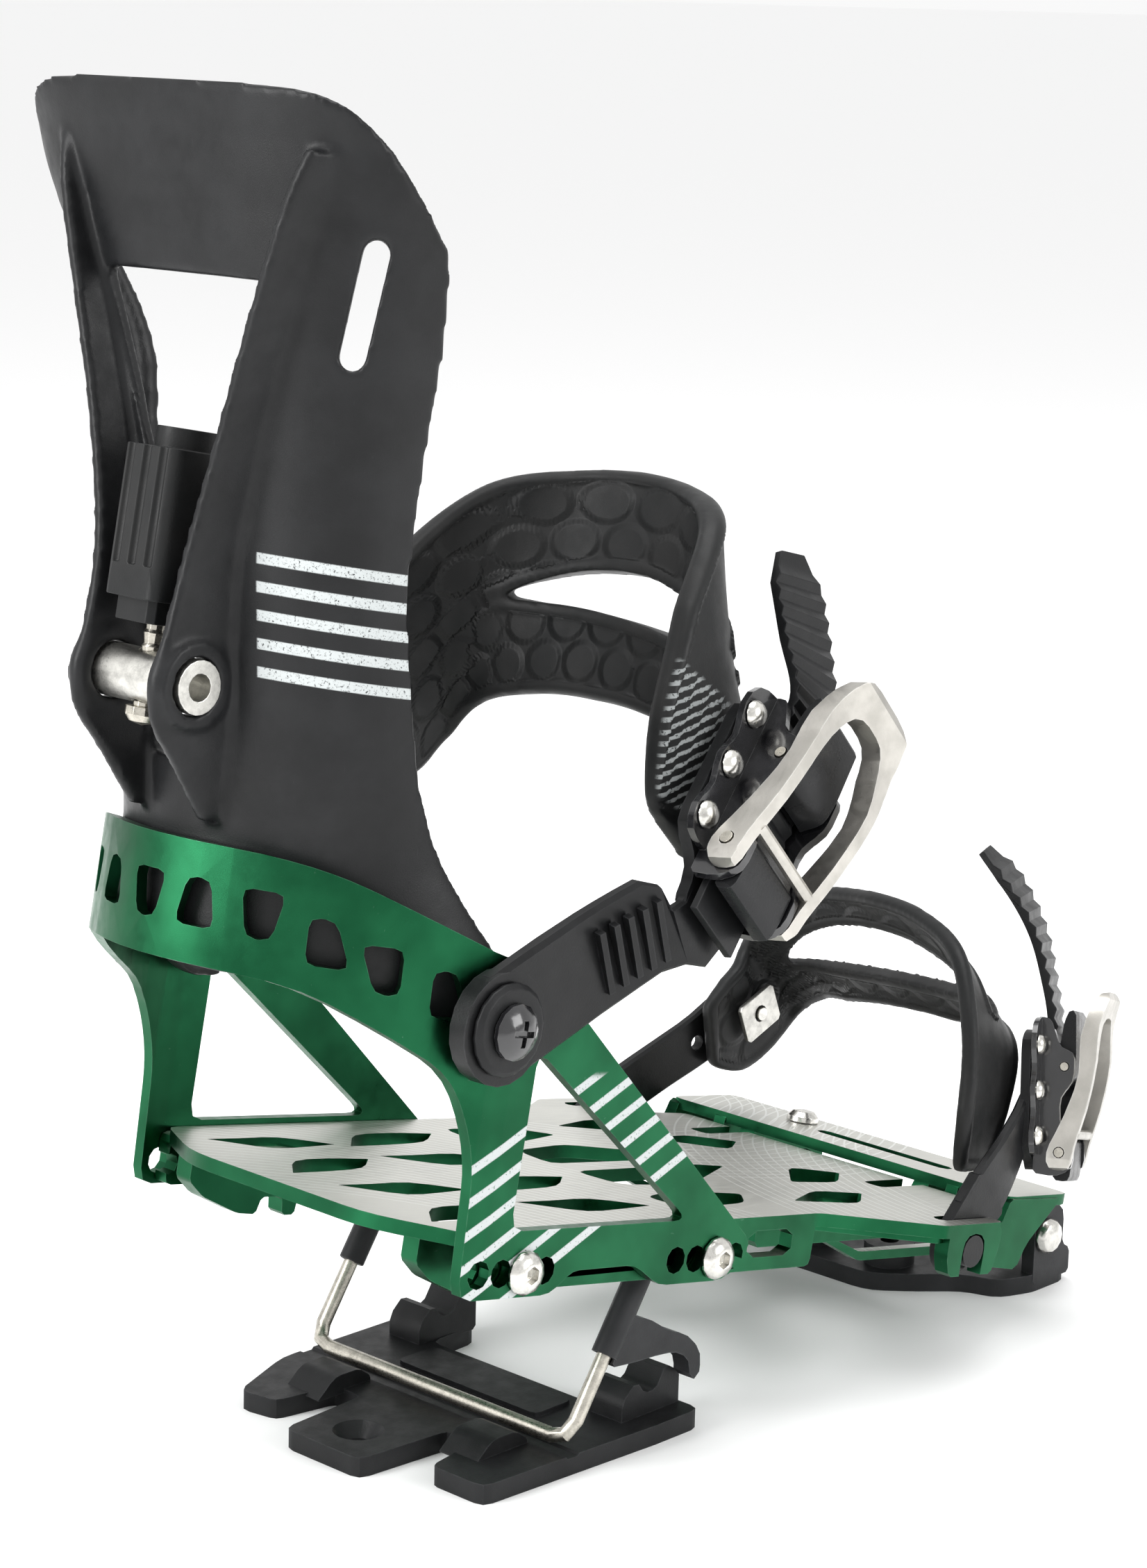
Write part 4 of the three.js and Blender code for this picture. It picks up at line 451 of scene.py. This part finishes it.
def shaded_group(degrees):
    """Shades smooth across edges that turn by less than degrees."""
    def build(tree, source, target):
        angle = tree.nodes.new("GeometryNodeInputMeshEdgeAngle")
        flat = tree.nodes.new("FunctionNodeCompare")
        flat.operation = "LESS_THAN"
        tree.links.new(angle.outputs[0], flat.inputs[0])
        flat.inputs[1].default_value = math.radians(degrees)
        faces = tree.nodes.new("GeometryNodeSetShadeSmooth")
        edges = tree.nodes.new("GeometryNodeSetShadeSmooth")
        edges.domain = "EDGE"
        tree.links.new(source, faces.inputs["Geometry"])
        tree.links.new(faces.outputs[0], edges.inputs["Geometry"])
        tree.links.new(flat.outputs[0], edges.inputs["Shade Smooth"])
        tree.links.new(edges.outputs[0], target)
    return node_group(f"shaded_{degrees}", build)


def add_group(o, name, tree):
    modifier = o.modifiers.new(name, "NODES")
    modifier.node_group = tree


def soften(o, bevel_mm, segments=2, dissolve=True, angle=33.0):
    """Rounds a hard node's edges and shades it, with modifiers only."""
    add_group(o, "joined", GROUPS["joined"])
    if dissolve:
        flat = o.modifiers.new("flat", "DECIMATE")
        flat.decimate_type = "DISSOLVE"
        flat.angle_limit = math.radians(1.2)
    if bevel_mm:
        bevel = o.modifiers.new("edges", "BEVEL")
        bevel.width = bevel_mm * MM
        bevel.segments = segments
        bevel.limit_method = "ANGLE"
        bevel.angle_limit = math.radians(angle)
        bevel.use_clamp_overlap = True
        bevel.miter_outer = "MITER_ARC"
    add_group(o, "shaded", GROUPS["shaded"])
    even = o.modifiers.new("even", "WEIGHTED_NORMAL")
    even.keep_sharp = True
    even.weight = 60


def dress(names, material, bevel_mm=0.3, segments=2, dissolve=True, angle=33.0):
    for name in names:
        o = nodes[name]
        o.data.materials.clear()
        o.data.materials.append(material)
        soften(o, bevel_mm, segments, dissolve, angle)


GROUPS = {"joined": joined_group(), "shaded": shaded_group(38.0)}
LOOKS = make_materials()


def dress_all():
    buckles = ("ankle", "toe")
    dress(["baseplate", "snap_ramp"], LOOKS["green_deck"], 0.35)
    dress(["heel_hoop"], LOOKS["green_printed"], 0.3)
    dress(["heel_rest"], LOOKS["black"], 0.5)
    dress(["tour_bracket"], LOOKS["slate"], 0.5)
    dress(["ankle_washer_lateral", "ankle_washer_medial"], LOOKS["black"], 0.3)
    dress(["lean_block"], LOOKS["rubber"], 0.6)
    straps = [f"{b}_ladder" for b in buckles] + ["ankle_extender", "ankle_medial_strap"]
    straps += ["toe_lateral_strap", "toe_medial_strap"]
    dress(straps, LOOKS["strap"], 0.3)
    dress([f"{b}_{part}" for b in buckles for part in ("pawl", "buckle_block")], LOOKS["grey"], 0.3)
    dress([f"{b}_buckle_base" for b in buckles], LOOKS["gloss"], 0.25)
    dress(["ankle_bolt_lateral", "ankle_bolt_medial"], LOOKS["gloss"], 0.25)
    dress([f"{b}_lever" for b in buckles], LOOKS["lever"], 0.8, segments=3)
    dress([f"{b}_rivet_{w}" for b in buckles for w in ("low", "middle", "high")], LOOKS["stainless"], 0.0)
    dress(["toe_pin_medial", "toe_pin_lateral", "ramp_stop_screw", "toe_nut_screw"], LOOKS["stainless"], 0.15)
    screws = [f"plate_screw_{w}_{s}" for w in ("rear", "front") for s in ("medial", "lateral")]
    dress(screws, LOOKS["stainless"], 0.2)
    dress(["climbing_wire"], LOOKS["wire"], 0.0, dissolve=False)
    wires = ["lean_rod", "ramp_axle_medial", "ramp_axle_lateral"]
    dress(wires + [f"{b}_{p}_pin" for b in buckles for p in ("lever", "pawl")], LOOKS["wire"], 0.1)
    dress(["lean_barrel", "toe_nut_plate"], LOOKS["raw"], 0.25)
    dress(["wire_sleeve_medial", "wire_sleeve_lateral"], LOOKS["slate"], 0.4, dissolve=False)


# ---- moulded pieces that stand for CAD nodes -------------------------------------

def curve_at(points, t, by_distance=False):
    """A Catmull-Rom curve through the points, at t from 0 to 1."""
    last = len(points) - 1
    i = min(int(t * last), last - 1)
    f = t * last - i
    b, c = points[i], points[i + 1]
    a = points[i - 1] if i else b * 2 - c
    d = points[i + 2] if i + 2 <= last else c * 2 - b
    if by_distance:
        ab, bc, cd = (max((q - p).length, 1e-6) ** 0.5 for p, q in ((a, b), (b, c), (c, d)))
        start = ((b - a) / ab - (c - a) / (ab + bc) + (c - b) / bc) * bc
        stop = ((c - b) / bc - (d - b) / (bc + cd) + (d - c) / cd) * bc
    else:
        start, stop = (c - a) * 0.5, (d - b) * 0.5
    square = b * -3 + c * 3 - start * 2 - stop
    cube = b * 2 - c * 2 + start + stop
    return b + start * f + square * f ** 2 + cube * f ** 3


def stations_along(rows, count):
    """Even stations (centre, across, out, half width, thickness) along rows of the same."""
    centres, across, out = ([Vector(row[k]) for row in rows] for k in range(3))
    fine = [curve_at(centres, k / 400, True) for k in range(401)]
    gone = [0.0]
    for a, b in zip(fine, fine[1:]):
        gone.append(gone[-1] + (b - a).length)
    found, k = [], 0
    for step in range(count):
        want = gone[-1] * step / (count - 1)
        while k < 399 and gone[k + 1] < want:
            k += 1
        t = min(1.0, (k + (want - gone[k]) / (gone[k + 1] - gone[k])) / 400)
        at = t * (len(rows) - 1)
        i = min(int(at), len(rows) - 2)
        half, thick = (rows[i][n] + (rows[i + 1][n] - rows[i][n]) * (at - i) for n in (3, 4))
        w = curve_at(across, t).normalized()
        n = curve_at(out, t)
        n = (n - w * n.dot(w)).normalized()
        found.append((curve_at(centres, t, True), w, n, half, thick, want))
    return found


def loft(rings):
    """One closed body through rings of plate frame points, all with the same number of points."""
    size = len(rings[0])
    points = [world(*p) for ring in rings for p in ring]
    faces = [(j * size + i, j * size + (i + 1) % size, (j + 1) * size + (i + 1) % size, (j + 1) * size + i)
             for j in range(len(rings) - 1) for i in range(size)]
    faces.append(tuple(reversed(range(size))))
    faces.append(tuple((len(rings) - 1) * size + i for i in range(size)))
    return points, faces


def solid(name, *bodies):
    """An object of one or more closed bodies of (points, faces)."""
    points, faces = [], []
    for more, sides in bodies:
        first = len(points)
        points += more
        faces += [tuple(first + i for i in side) for side in sides]
    mesh = bpy.data.meshes.new(name)
    mesh.from_pydata([tuple(p) for p in points], [], faces)
    tidy = bmesh.new()
    tidy.from_mesh(mesh)
    bmesh.ops.recalc_face_normals(tidy, faces=tidy.faces)
    tidy.to_mesh(mesh)
    tidy.free()
    o = bpy.data.objects.new(name, mesh)
    bpy.context.scene.collection.objects.link(o)
    return o


def moulded_body(o, cutters, voxel_mm, smoothing, rounds=0.5):
    """Joins the bodies of o into one skin, cuts the cutters away, and rounds every edge a little."""
    def voxels(size):
        remesh = o.modifiers.new("skin", "REMESH")
        remesh.mode = "VOXEL"
        remesh.voxel_size = size * MM
    voxels(voxel_mm)
    for cutter in cutters:
        cut = o.modifiers.new("cut", "BOOLEAN")
        cut.operation = "DIFFERENCE"
        cut.solver = "EXACT"
        cut.object = cutter
    voxels(voxel_mm)
    soft = o.modifiers.new("soft", "SMOOTH")
    soft.factor = rounds
    soft.iterations = smoothing
    mesh = bpy.data.meshes.new_from_object(o.evaluated_get(bpy.context.evaluated_depsgraph_get()))
    o.modifiers.clear()
    o.data = mesh
    mesh.shade_smooth()
    for cutter in cutters:
        bpy.data.objects.remove(cutter)


def rounded_band(stations, corner_mm):
    """Rings of a rounded flat section through the stations."""
    rings = []
    for centre, w, n, half, thick, gone in stations:
        t, ring = thick / 2, []
        c = min(corner_mm, t * 0.98, half * 0.9)
        corners = ((half - c, t - c), (c - half, t - c), (c - half, c - t), (half - c, c - t))
        for turn, (a0, b0) in enumerate(corners):
            for k in range(7):
                angle = (turn + k / 6) * math.pi / 2
                ring.append(centre + w * (a0 + c * math.cos(angle)) + n * (b0 + c * math.sin(angle)))
        rings.append(ring)
    return rings


def label_band(o, stations, split, sunk_mm, rim_mm=2.2):
    """Stores how far along and across the band each point lies, and sinks its faces inside a raised rim."""
    tree = kdtree.KDTree(len(stations) * 9)
    for i, (centre, w, n, half, thick, gone) in enumerate(stations):
        for k in range(9):
            tree.insert(centre + w * half * (k - 4) / 4, i)
    tree.balance()
    turn = Matrix.Rotation(-PITCH, 4, "Y")
    names = ("along", "across", "side", "rim")
    found = {name: o.data.attributes.new(name, "FLOAT", "POINT").data for name in names}
    for point in o.data.vertices:
        place = turn @ (point.co / MM - Vector((0, 0, PIN_HEIGHT))) + Vector((PIN_X, 0, PIN_Z))
        i = tree.find(place)[1]
        centre, w, n, half, thick, gone = stations[i]
        forward = (stations[min(i + 1, len(stations) - 1)][0] - stations[max(i - 1, 0)][0]).normalized()
        off = place - centre
        across, out = off.dot(w), off.dot(n)
        along = gone + off.dot(forward)
        middle, opened = split(i / (len(stations) - 1))
        clear = half - abs(across)
        if opened > 0:
            clear = min(clear, abs(across - middle) - opened)
        clear = min(clear, along - stations[0][5], stations[-1][5] - along)
        step = min(1.0, max(0.0, (clear - rim_mm) / 1.6))
        step = step * step * (3 - 2 * step)
        level = max(-1.0, min(1.0, out / (thick / 2)))
        sunk = -math.copysign(sunk_mm * step * min(1.0, abs(level) * 1.4), out)
        shift = turn.inverted().to_3x3() @ (n * sunk)
        point.co += shift * MM
        for name, value in zip(names, (along, across, level, step)):
            found[name][point.index].value = value


def ankle_pad_rows():
    """The ankle pad's stations: centre, across, out, half width, thickness."""
    lateral = [
        ((32, 51.4, 100), (-0.8, 0, 0.6), (0.1, 1, 0.05), 15),
        ((37, 52, 113), (-0.77, 0.04, 0.64), (0.15, 1, 0.08), 21),
        ((45, 49.2, 131), (-0.6, 0.08, 0.8), (0.4, 0.92, 0.15), 27),
        ((53, 38.5, 146), (-0.25, 0.05, 0.97), (0.8, 0.6, 0.15), 28),
        ((58, 19, 152), (0.03, 0, 1), (0.95, 0.3, 0), 28),
        ((59.6, 0, 153.6), (0.1, 0, 1), (1, 0, -0.1), 28.5),
    ]
    def row(side, c, w, n, half):
        return (c[0], side * c[1], c[2]), (w[0], -side * w[1], w[2]), (n[0], side * n[1], n[2]), half, 7.0
    return [row(-1, *r) for r in lateral] + [row(1, *r) for r in reversed(lateral[:-1])]


def toe_band_rows():
    """The toe band's stations, from the lateral side over the toe to the medial side."""
    rows = [
        ((170, -53, 17), (0.95, 0.25, -0.05), (0.25, -1, 0), 11),
        ((172, -53, 33), (0.95, 0.25, -0.1), (0.25, -1, 0.05), 15),
        ((175, -50, 49), (0.94, 0.2, -0.25), (0.3, -0.9, 0.3), 17),
        ((181, -39, 61.5), (0.8, 0.1, -0.55), (0.45, -0.6, 0.6), 19),
        ((187, -20, 65), (0.68, 0, -0.73), (0.65, -0.2, 0.65), 20),
        ((191.5, 2, 65), (0.63, 0, -0.77), (0.77, 0, 0.63), 20),
        ((198, 25, 61.5), (0.63, -0.08, -0.77), (0.65, 0.35, 0.6), 19.5),
        ((205.5, 44, 54.5), (0.74, -0.2, -0.62), (0.35, 0.8, 0.4), 18),
        ((209.5, 53.2, 45.5), (0.8, -0.06, -0.6), (0.05, 1, 0.1), 16.5),
        ((205, 54.2, 38), (0.64, 0, -0.77), (0, 1, 0), 16),
        ((197, 54.2, 32.6), (0.46, 0, -0.89), (0, 1, 0), 15.4),
        ((187, 54.2, 29.4), (0.36, 0, -0.93), (0, 1, 0), 12),
    ]
    return [(*row, 4.6) for row in rows]


SPLIT_DEPTH = 9


def make_band(name, node, body, rows, split, ends, corner_mm, sunk_mm, stripes):
    """A padded band with a lengthways split and rolled rims."""
    stations = stations_along(rows, 140)
    shaped = []
    for i, (centre, w, n, half, thick, gone) in enumerate(stations):
        end = min(i, len(stations) - 1 - i) / (len(stations) - 1)
        narrow = ends + (1 - ends) * math.sqrt(max(0.0, 1 - (1 - min(1.0, end / 0.1)) ** 2))
        shaped.append((centre, w, n, half * narrow, thick * (0.9 * narrow + 0.1) - 0.1, gone))
    o = solid(name, loft(rounded_band(shaped, corner_mm)))
    rings = []
    for i, (centre, w, n, half, thick, gone) in enumerate(shaped):
        middle, opened = split(i / (len(shaped) - 1))
        if opened > 0.3:
            corners = ((1, -SPLIT_DEPTH), (1, SPLIT_DEPTH), (-1, SPLIT_DEPTH), (-1, -SPLIT_DEPTH))
            rings.append([centre + w * (middle + a * opened) + n * b for a, b in corners])
    moulded_body(o, [solid("split", loft(rings))], 0.75, 5)
    label_band(o, shaped, split, sunk_mm)
    o.data.materials.append(pad_skin(name + "_look", stripes))
    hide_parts(node)
    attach(o, body)


def ankle_split(t):
    """Middle and half width of the ankle pad's opening at t of its length."""
    f = (t - 0.25) / 0.46
    if not 0 < f < 1:
        return -2.0, 0.0
    return -2.0, 0.5 + 5.2 * math.sin(math.pi * min(1.0, 0.12 + f * 0.95)) ** 0.8 if f < 0.92 else 0.5


def toe_split(t):
    """Middle and half width of the toe band's opening at t of its length."""
    f = (t - 0.23) / 0.54
    return (0.0, 0.4 + 8.4 * math.sin(math.pi * f) ** 0.6) if 0 < f < 1 else (0.0, 0.0)


# The highback's front edge, rear and half width at rising heights, in the plate frame.
SPINE = [Vector(row) for row in (
    (46, -8, -71.5, 51.6), (57, -11, -72.6, 51.8), (68, -16, -72.8, 51.4), (80, -26, -72.8, 47.6),
    (92, -35, -73.2, 44.2), (105, -42, -75, 43.2), (121, -47.5, -77, 42.8), (144, -54, -81, 42.6),
    (172, -58, -86, 45), (200, -61, -92, 48.4), (222, -66, -97.5, 50.4), (236, -74, -101, 51),
    (246, -84, -103.6, 51),
)]


# The highback's wall, its thicker rim and the stretch that it fades over, and half the arc round it.
WALL, RIM, RIM_WIDTH, SIDE_ARC = 3.2, 1.5, (3.2, 5.6), 82
BARREL_X, BARREL_Z, BARREL_BORE, BOSS_RADIUS = -86.3, 121, 6.3, 9.4
ANKLE_X, ANKLE_Z, ANKLE_BORE = -23.7, 56.8, 3.5


def eased(value, low, high):
    f = min(1.0, max(0.0, (value - low) / (high - low)))
    return f * f * (3 - 2 * f)


def spine_at(z):
    """Front edge, rear and half width of the shell at height z."""
    i = 0
    while i < len(SPINE) - 2 and SPINE[i + 1][0] < z:
        i += 1
    f = (z - SPINE[i][0]) / (SPINE[i + 1][0] - SPINE[i][0])
    return curve_at(SPINE, min(1.0, max(0.0, (i + f) / (len(SPINE) - 1))))[1:]


def shell_point(u, z, inset):
    """The highback's skin at u round it, from -1 to 1, and height z, moved in by inset."""
    edge, rear, half = spine_at(z)
    power = 1.9 + 0.7 * min(1.0, max(0.0, (z - 88) / 60))
    angle = u * math.pi / 2
    c = abs(math.cos(angle)) ** (2 / power)
    k = math.copysign(abs(math.sin(angle)) ** (2 / power), u)
    flare = eased(z, 186, 232) if u > 0 else 0.0
    edge -= 13 * flare
    half += 7 * flare - inset
    return Vector((edge - (edge - rear - inset) * c, half * k, z))


def shell_body():
    """The highback's curved wall, with a thicker rolled rim."""
    columns, rows = 110, 110
    layers = []
    for layer in (0, 1):
        for j in range(rows + 1):
            for i in range(columns + 1):
                u = (i / columns) * 2 - 1
                low = 60 - 13.5 * eased(abs(u), 0.62, 0.92)
                top = 246 - 27 * abs(u) ** 5
                z = low + (top - low) * j / rows
                edge = min((1 - abs(u)) * SIDE_ARC, top - z, z - low)
                rim = RIM * (1 - eased(edge, *RIM_WIDTH))
                layers.append(shell_point(u, z, (WALL + rim) if layer else 0.0))
    def at(layer, j, i):
        return (layer * (rows + 1) + j) * (columns + 1) + i
    faces = []
    for j in range(rows):
        for i in range(columns):
            faces.append((at(0, j, i), at(0, j, i + 1), at(0, j + 1, i + 1), at(0, j + 1, i)))
            faces.append((at(1, j, i), at(1, j + 1, i), at(1, j + 1, i + 1), at(1, j, i + 1)))
    for i in range(columns):
        faces.append((at(0, 0, i), at(1, 0, i), at(1, 0, i + 1), at(0, 0, i + 1)))
        faces.append((at(0, rows, i), at(0, rows, i + 1), at(1, rows, i + 1), at(1, rows, i)))
    for j in range(rows):
        faces.append((at(0, j, 0), at(0, j + 1, 0), at(1, j + 1, 0), at(1, j, 0)))
        faces.append((at(0, j, columns), at(1, j, columns), at(1, j + 1, columns), at(0, j + 1, columns)))
    return [world(*p) for p in layers], faces


def rib_body(side):
    """One upright rib on the back of the shell."""
    levels = [Vector(row) for row in (
        (92, -76, -66, 11.6), (104, -87, -68, 12.4), (112, -94.5, -70, 12.9), (121, -97, -72, 13.1),
        (131, -95, -74, 13.2), (150, -94, -77, 15), (176, -95.4, -81, 21.4), (200, -98, -87, 28.6),
        (222, -100, -90, 35.6), (234, -99, -92, 39.4),
    )]
    rings = []
    for k in range(91):
        z, rear, fore, y = curve_at(levels, k / 90)
        rings.append([(rear, side * (y - 1.6), z), (rear, side * (y + 1.2), z),
                      (fore, side * (y + 2.6), z), (fore, side * (y - 2.6), z)])
    return loft(rings)


def rod_body(x, z, radius, y0, y1, sides=40):
    """A rod across the binding."""
    def ring(y):
        return [(x + radius * math.cos(a), y, z + radius * math.sin(a))
                for a in (2 * math.pi * k / sides for k in range(sides))]
    return loft([ring(y0), ring(y1)])


def window_cutter():
    """The highback's tall window, seen from behind."""
    outline = [
        (-27.5, 207), (27.5, 207), (12.5, 168), (9.3, 150),
        (9.3, 104), (-9.3, 104), (-9.3, 150), (-12.5, 168),
    ]
    corners = []
    count = len(outline)
    for i, (y, z) in enumerate(outline):
        here = Vector((y, z))
        before, after = Vector(outline[i - 1]), Vector(outline[(i + 1) % count])
        cut = 3.5
        start, stop = here + (before - here).normalized() * cut, here + (after - here).normalized() * cut
        for k in range(6):
            f = k / 5
            corners.append(start * (1 - f) ** 2 + here * 2 * f * (1 - f) + stop * f ** 2)
    return loft([[(x, c.x, c.y) for c in corners] for x in (-125, -60)])


def slot_cutter(side):
    """One upright lacing slot in a wing."""
    out = Vector((-0.74, side * 0.67, 0.05)).normalized()
    along = Vector((0, 0, 1)).cross(out).normalized()
    up = out.cross(along)
    lean = math.pi / 2 + side * 0.1
    long_way = along * math.cos(lean) + up * math.sin(lean)
    short_way = up * math.cos(lean) - along * math.sin(lean)
    ring = []
    for k in range(24):
        a = 2 * math.pi * k / 24
        shift = (27 - 5.6) / 2 * (1 if math.cos(a) >= 0 else -1)
        ring.append(long_way * (shift + 2.8 * math.cos(a)) + short_way * 2.8 * math.sin(a))
    middle = Vector((-80, side * 42.4, 205))
    return loft([[middle + out * reach + p for p in ring] for reach in (-15, 15)])


def make_highback():
    """The moulded highback: wall, rolled rim, ribs and barrel bosses in one skin."""
    bosses = [rod_body(BARREL_X, BARREL_Z, BOSS_RADIUS, *ends) for ends in ((10.6, 16), (-16, -10.6))]
    o = solid("highback_shell", shell_body(), rib_body(-1), rib_body(1), *bosses)
    bores = (
        rod_body(BARREL_X, BARREL_Z, BARREL_BORE, -30, 30),
        rod_body(ANKLE_X, ANKLE_Z, ANKLE_BORE, -70, 70),
    )
    cutters = [
        solid("window", window_cutter()),
        solid("slots", slot_cutter(-1), slot_cutter(1)),
        solid("bores", *bores),
    ]
    moulded_body(o, cutters, 0.8, 4)
    o.data.materials.append(LOOKS["shell"])
    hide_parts("highback")
    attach(o, "back")


def make_moulded_pieces():
    make_highback()
    ankle = dict(ends=0.6, corner_mm=2.6, sunk_mm=0.8, stripes=(6.0, 34.0))
    make_band("ankle_pad_skin", "ankle_pad", "ankle_strap", ankle_pad_rows(), ankle_split, **ankle)
    toe = dict(ends=0.7, corner_mm=1.5, sunk_mm=0.6, stripes=(0.0, 0.1))
    make_band("toe_band_skin", "toe_band", "toe_strap", toe_band_rows(), toe_split, **toe)


# ---- studio ---------------------------------------------------------------------

def make_floor():
    mesh = bpy.data.meshes.new("floor")
    half = 400.0
    corners = [(-half, -half, 0), (half, -half, 0), (half, half, 0), (-half, half, 0)]
    mesh.from_pydata(corners, [], [(0, 1, 2, 3)])
    floor = bpy.data.objects.new("floor", mesh)
    bpy.context.scene.collection.objects.link(floor)
    s = Surface("floor_look", Specular_IOR_Level=0.1)
    s.bumped((s.noise(2.0, 2.0), 0.01))
    mesh.materials.append(s.wear((0.96, 0.96, 0.96), 0.9))


def add_light(name, place, aim, size, power, colour=(1.0, 1.0, 1.0)):
    light = bpy.data.lights.new(name, "AREA")
    light.shape = "RECTANGLE"
    light.size, light.size_y = size
    light.energy = power
    light.color = colour
    o = bpy.data.objects.new(name, light)
    bpy.context.scene.collection.objects.link(o)
    o.location = place
    o.rotation_euler = (Vector(aim) - Vector(place)).to_track_quat("-Z", "Y").to_euler()


def make_lights():
    back = bpy.data.worlds.new("studio")
    back.use_nodes = True
    sky = back.node_tree.nodes["Background"]
    sky.inputs["Color"].default_value = (1.0, 1.0, 1.0, 1.0)
    sky.inputs["Strength"].default_value = 0.95
    bpy.context.scene.world = back
    middle = (-0.1, 0.0, 0.14)
    add_light("top", (-0.15, 0.05, 1.5), middle, (1.2, 0.9), 12.0)
    add_light("left", (-1.3, 0.35, 0.75), middle, (0.6, 1.1), 15.0)
    add_light("right", (0.25, -1.35, 0.7), middle, (0.8, 0.7), 9.0)


def make_camera():
    """The photograph's viewpoint: a long lens, low, from behind and to the lateral side."""
    place = Vector((-0.7664, -0.5811, 0.3404))
    forward = Vector((0.7147, 0.6658, -0.2146)).normalized()
    roll = math.radians(1.51)
    right = forward.cross(Vector((0, 0, 1))).normalized()
    up = right.cross(forward)
    turned_right = right * math.cos(roll) + up * math.sin(roll)
    turned_up = up * math.cos(roll) - right * math.sin(roll)
    lens = bpy.data.cameras.new("camera")
    lens.sensor_fit = "AUTO"
    lens.sensor_width = 36.0
    lens.lens = 82.2
    lens.clip_start, lens.clip_end = 0.01, 1000.0
    camera = bpy.data.objects.new("camera", lens)
    bpy.context.scene.collection.objects.link(camera)
    camera.matrix_world = Matrix((
        (turned_right.x, turned_up.x, -forward.x, place.x),
        (turned_right.y, turned_up.y, -forward.y, place.y),
        (turned_right.z, turned_up.z, -forward.z, place.z),
        (0, 0, 0, 1)))
    bpy.context.scene.camera = camera


make_camera()
make_lights()
make_floor()
dress_all()
make_moulded_pieces()
bpy.context.scene.view_settings.view_transform = "Standard"
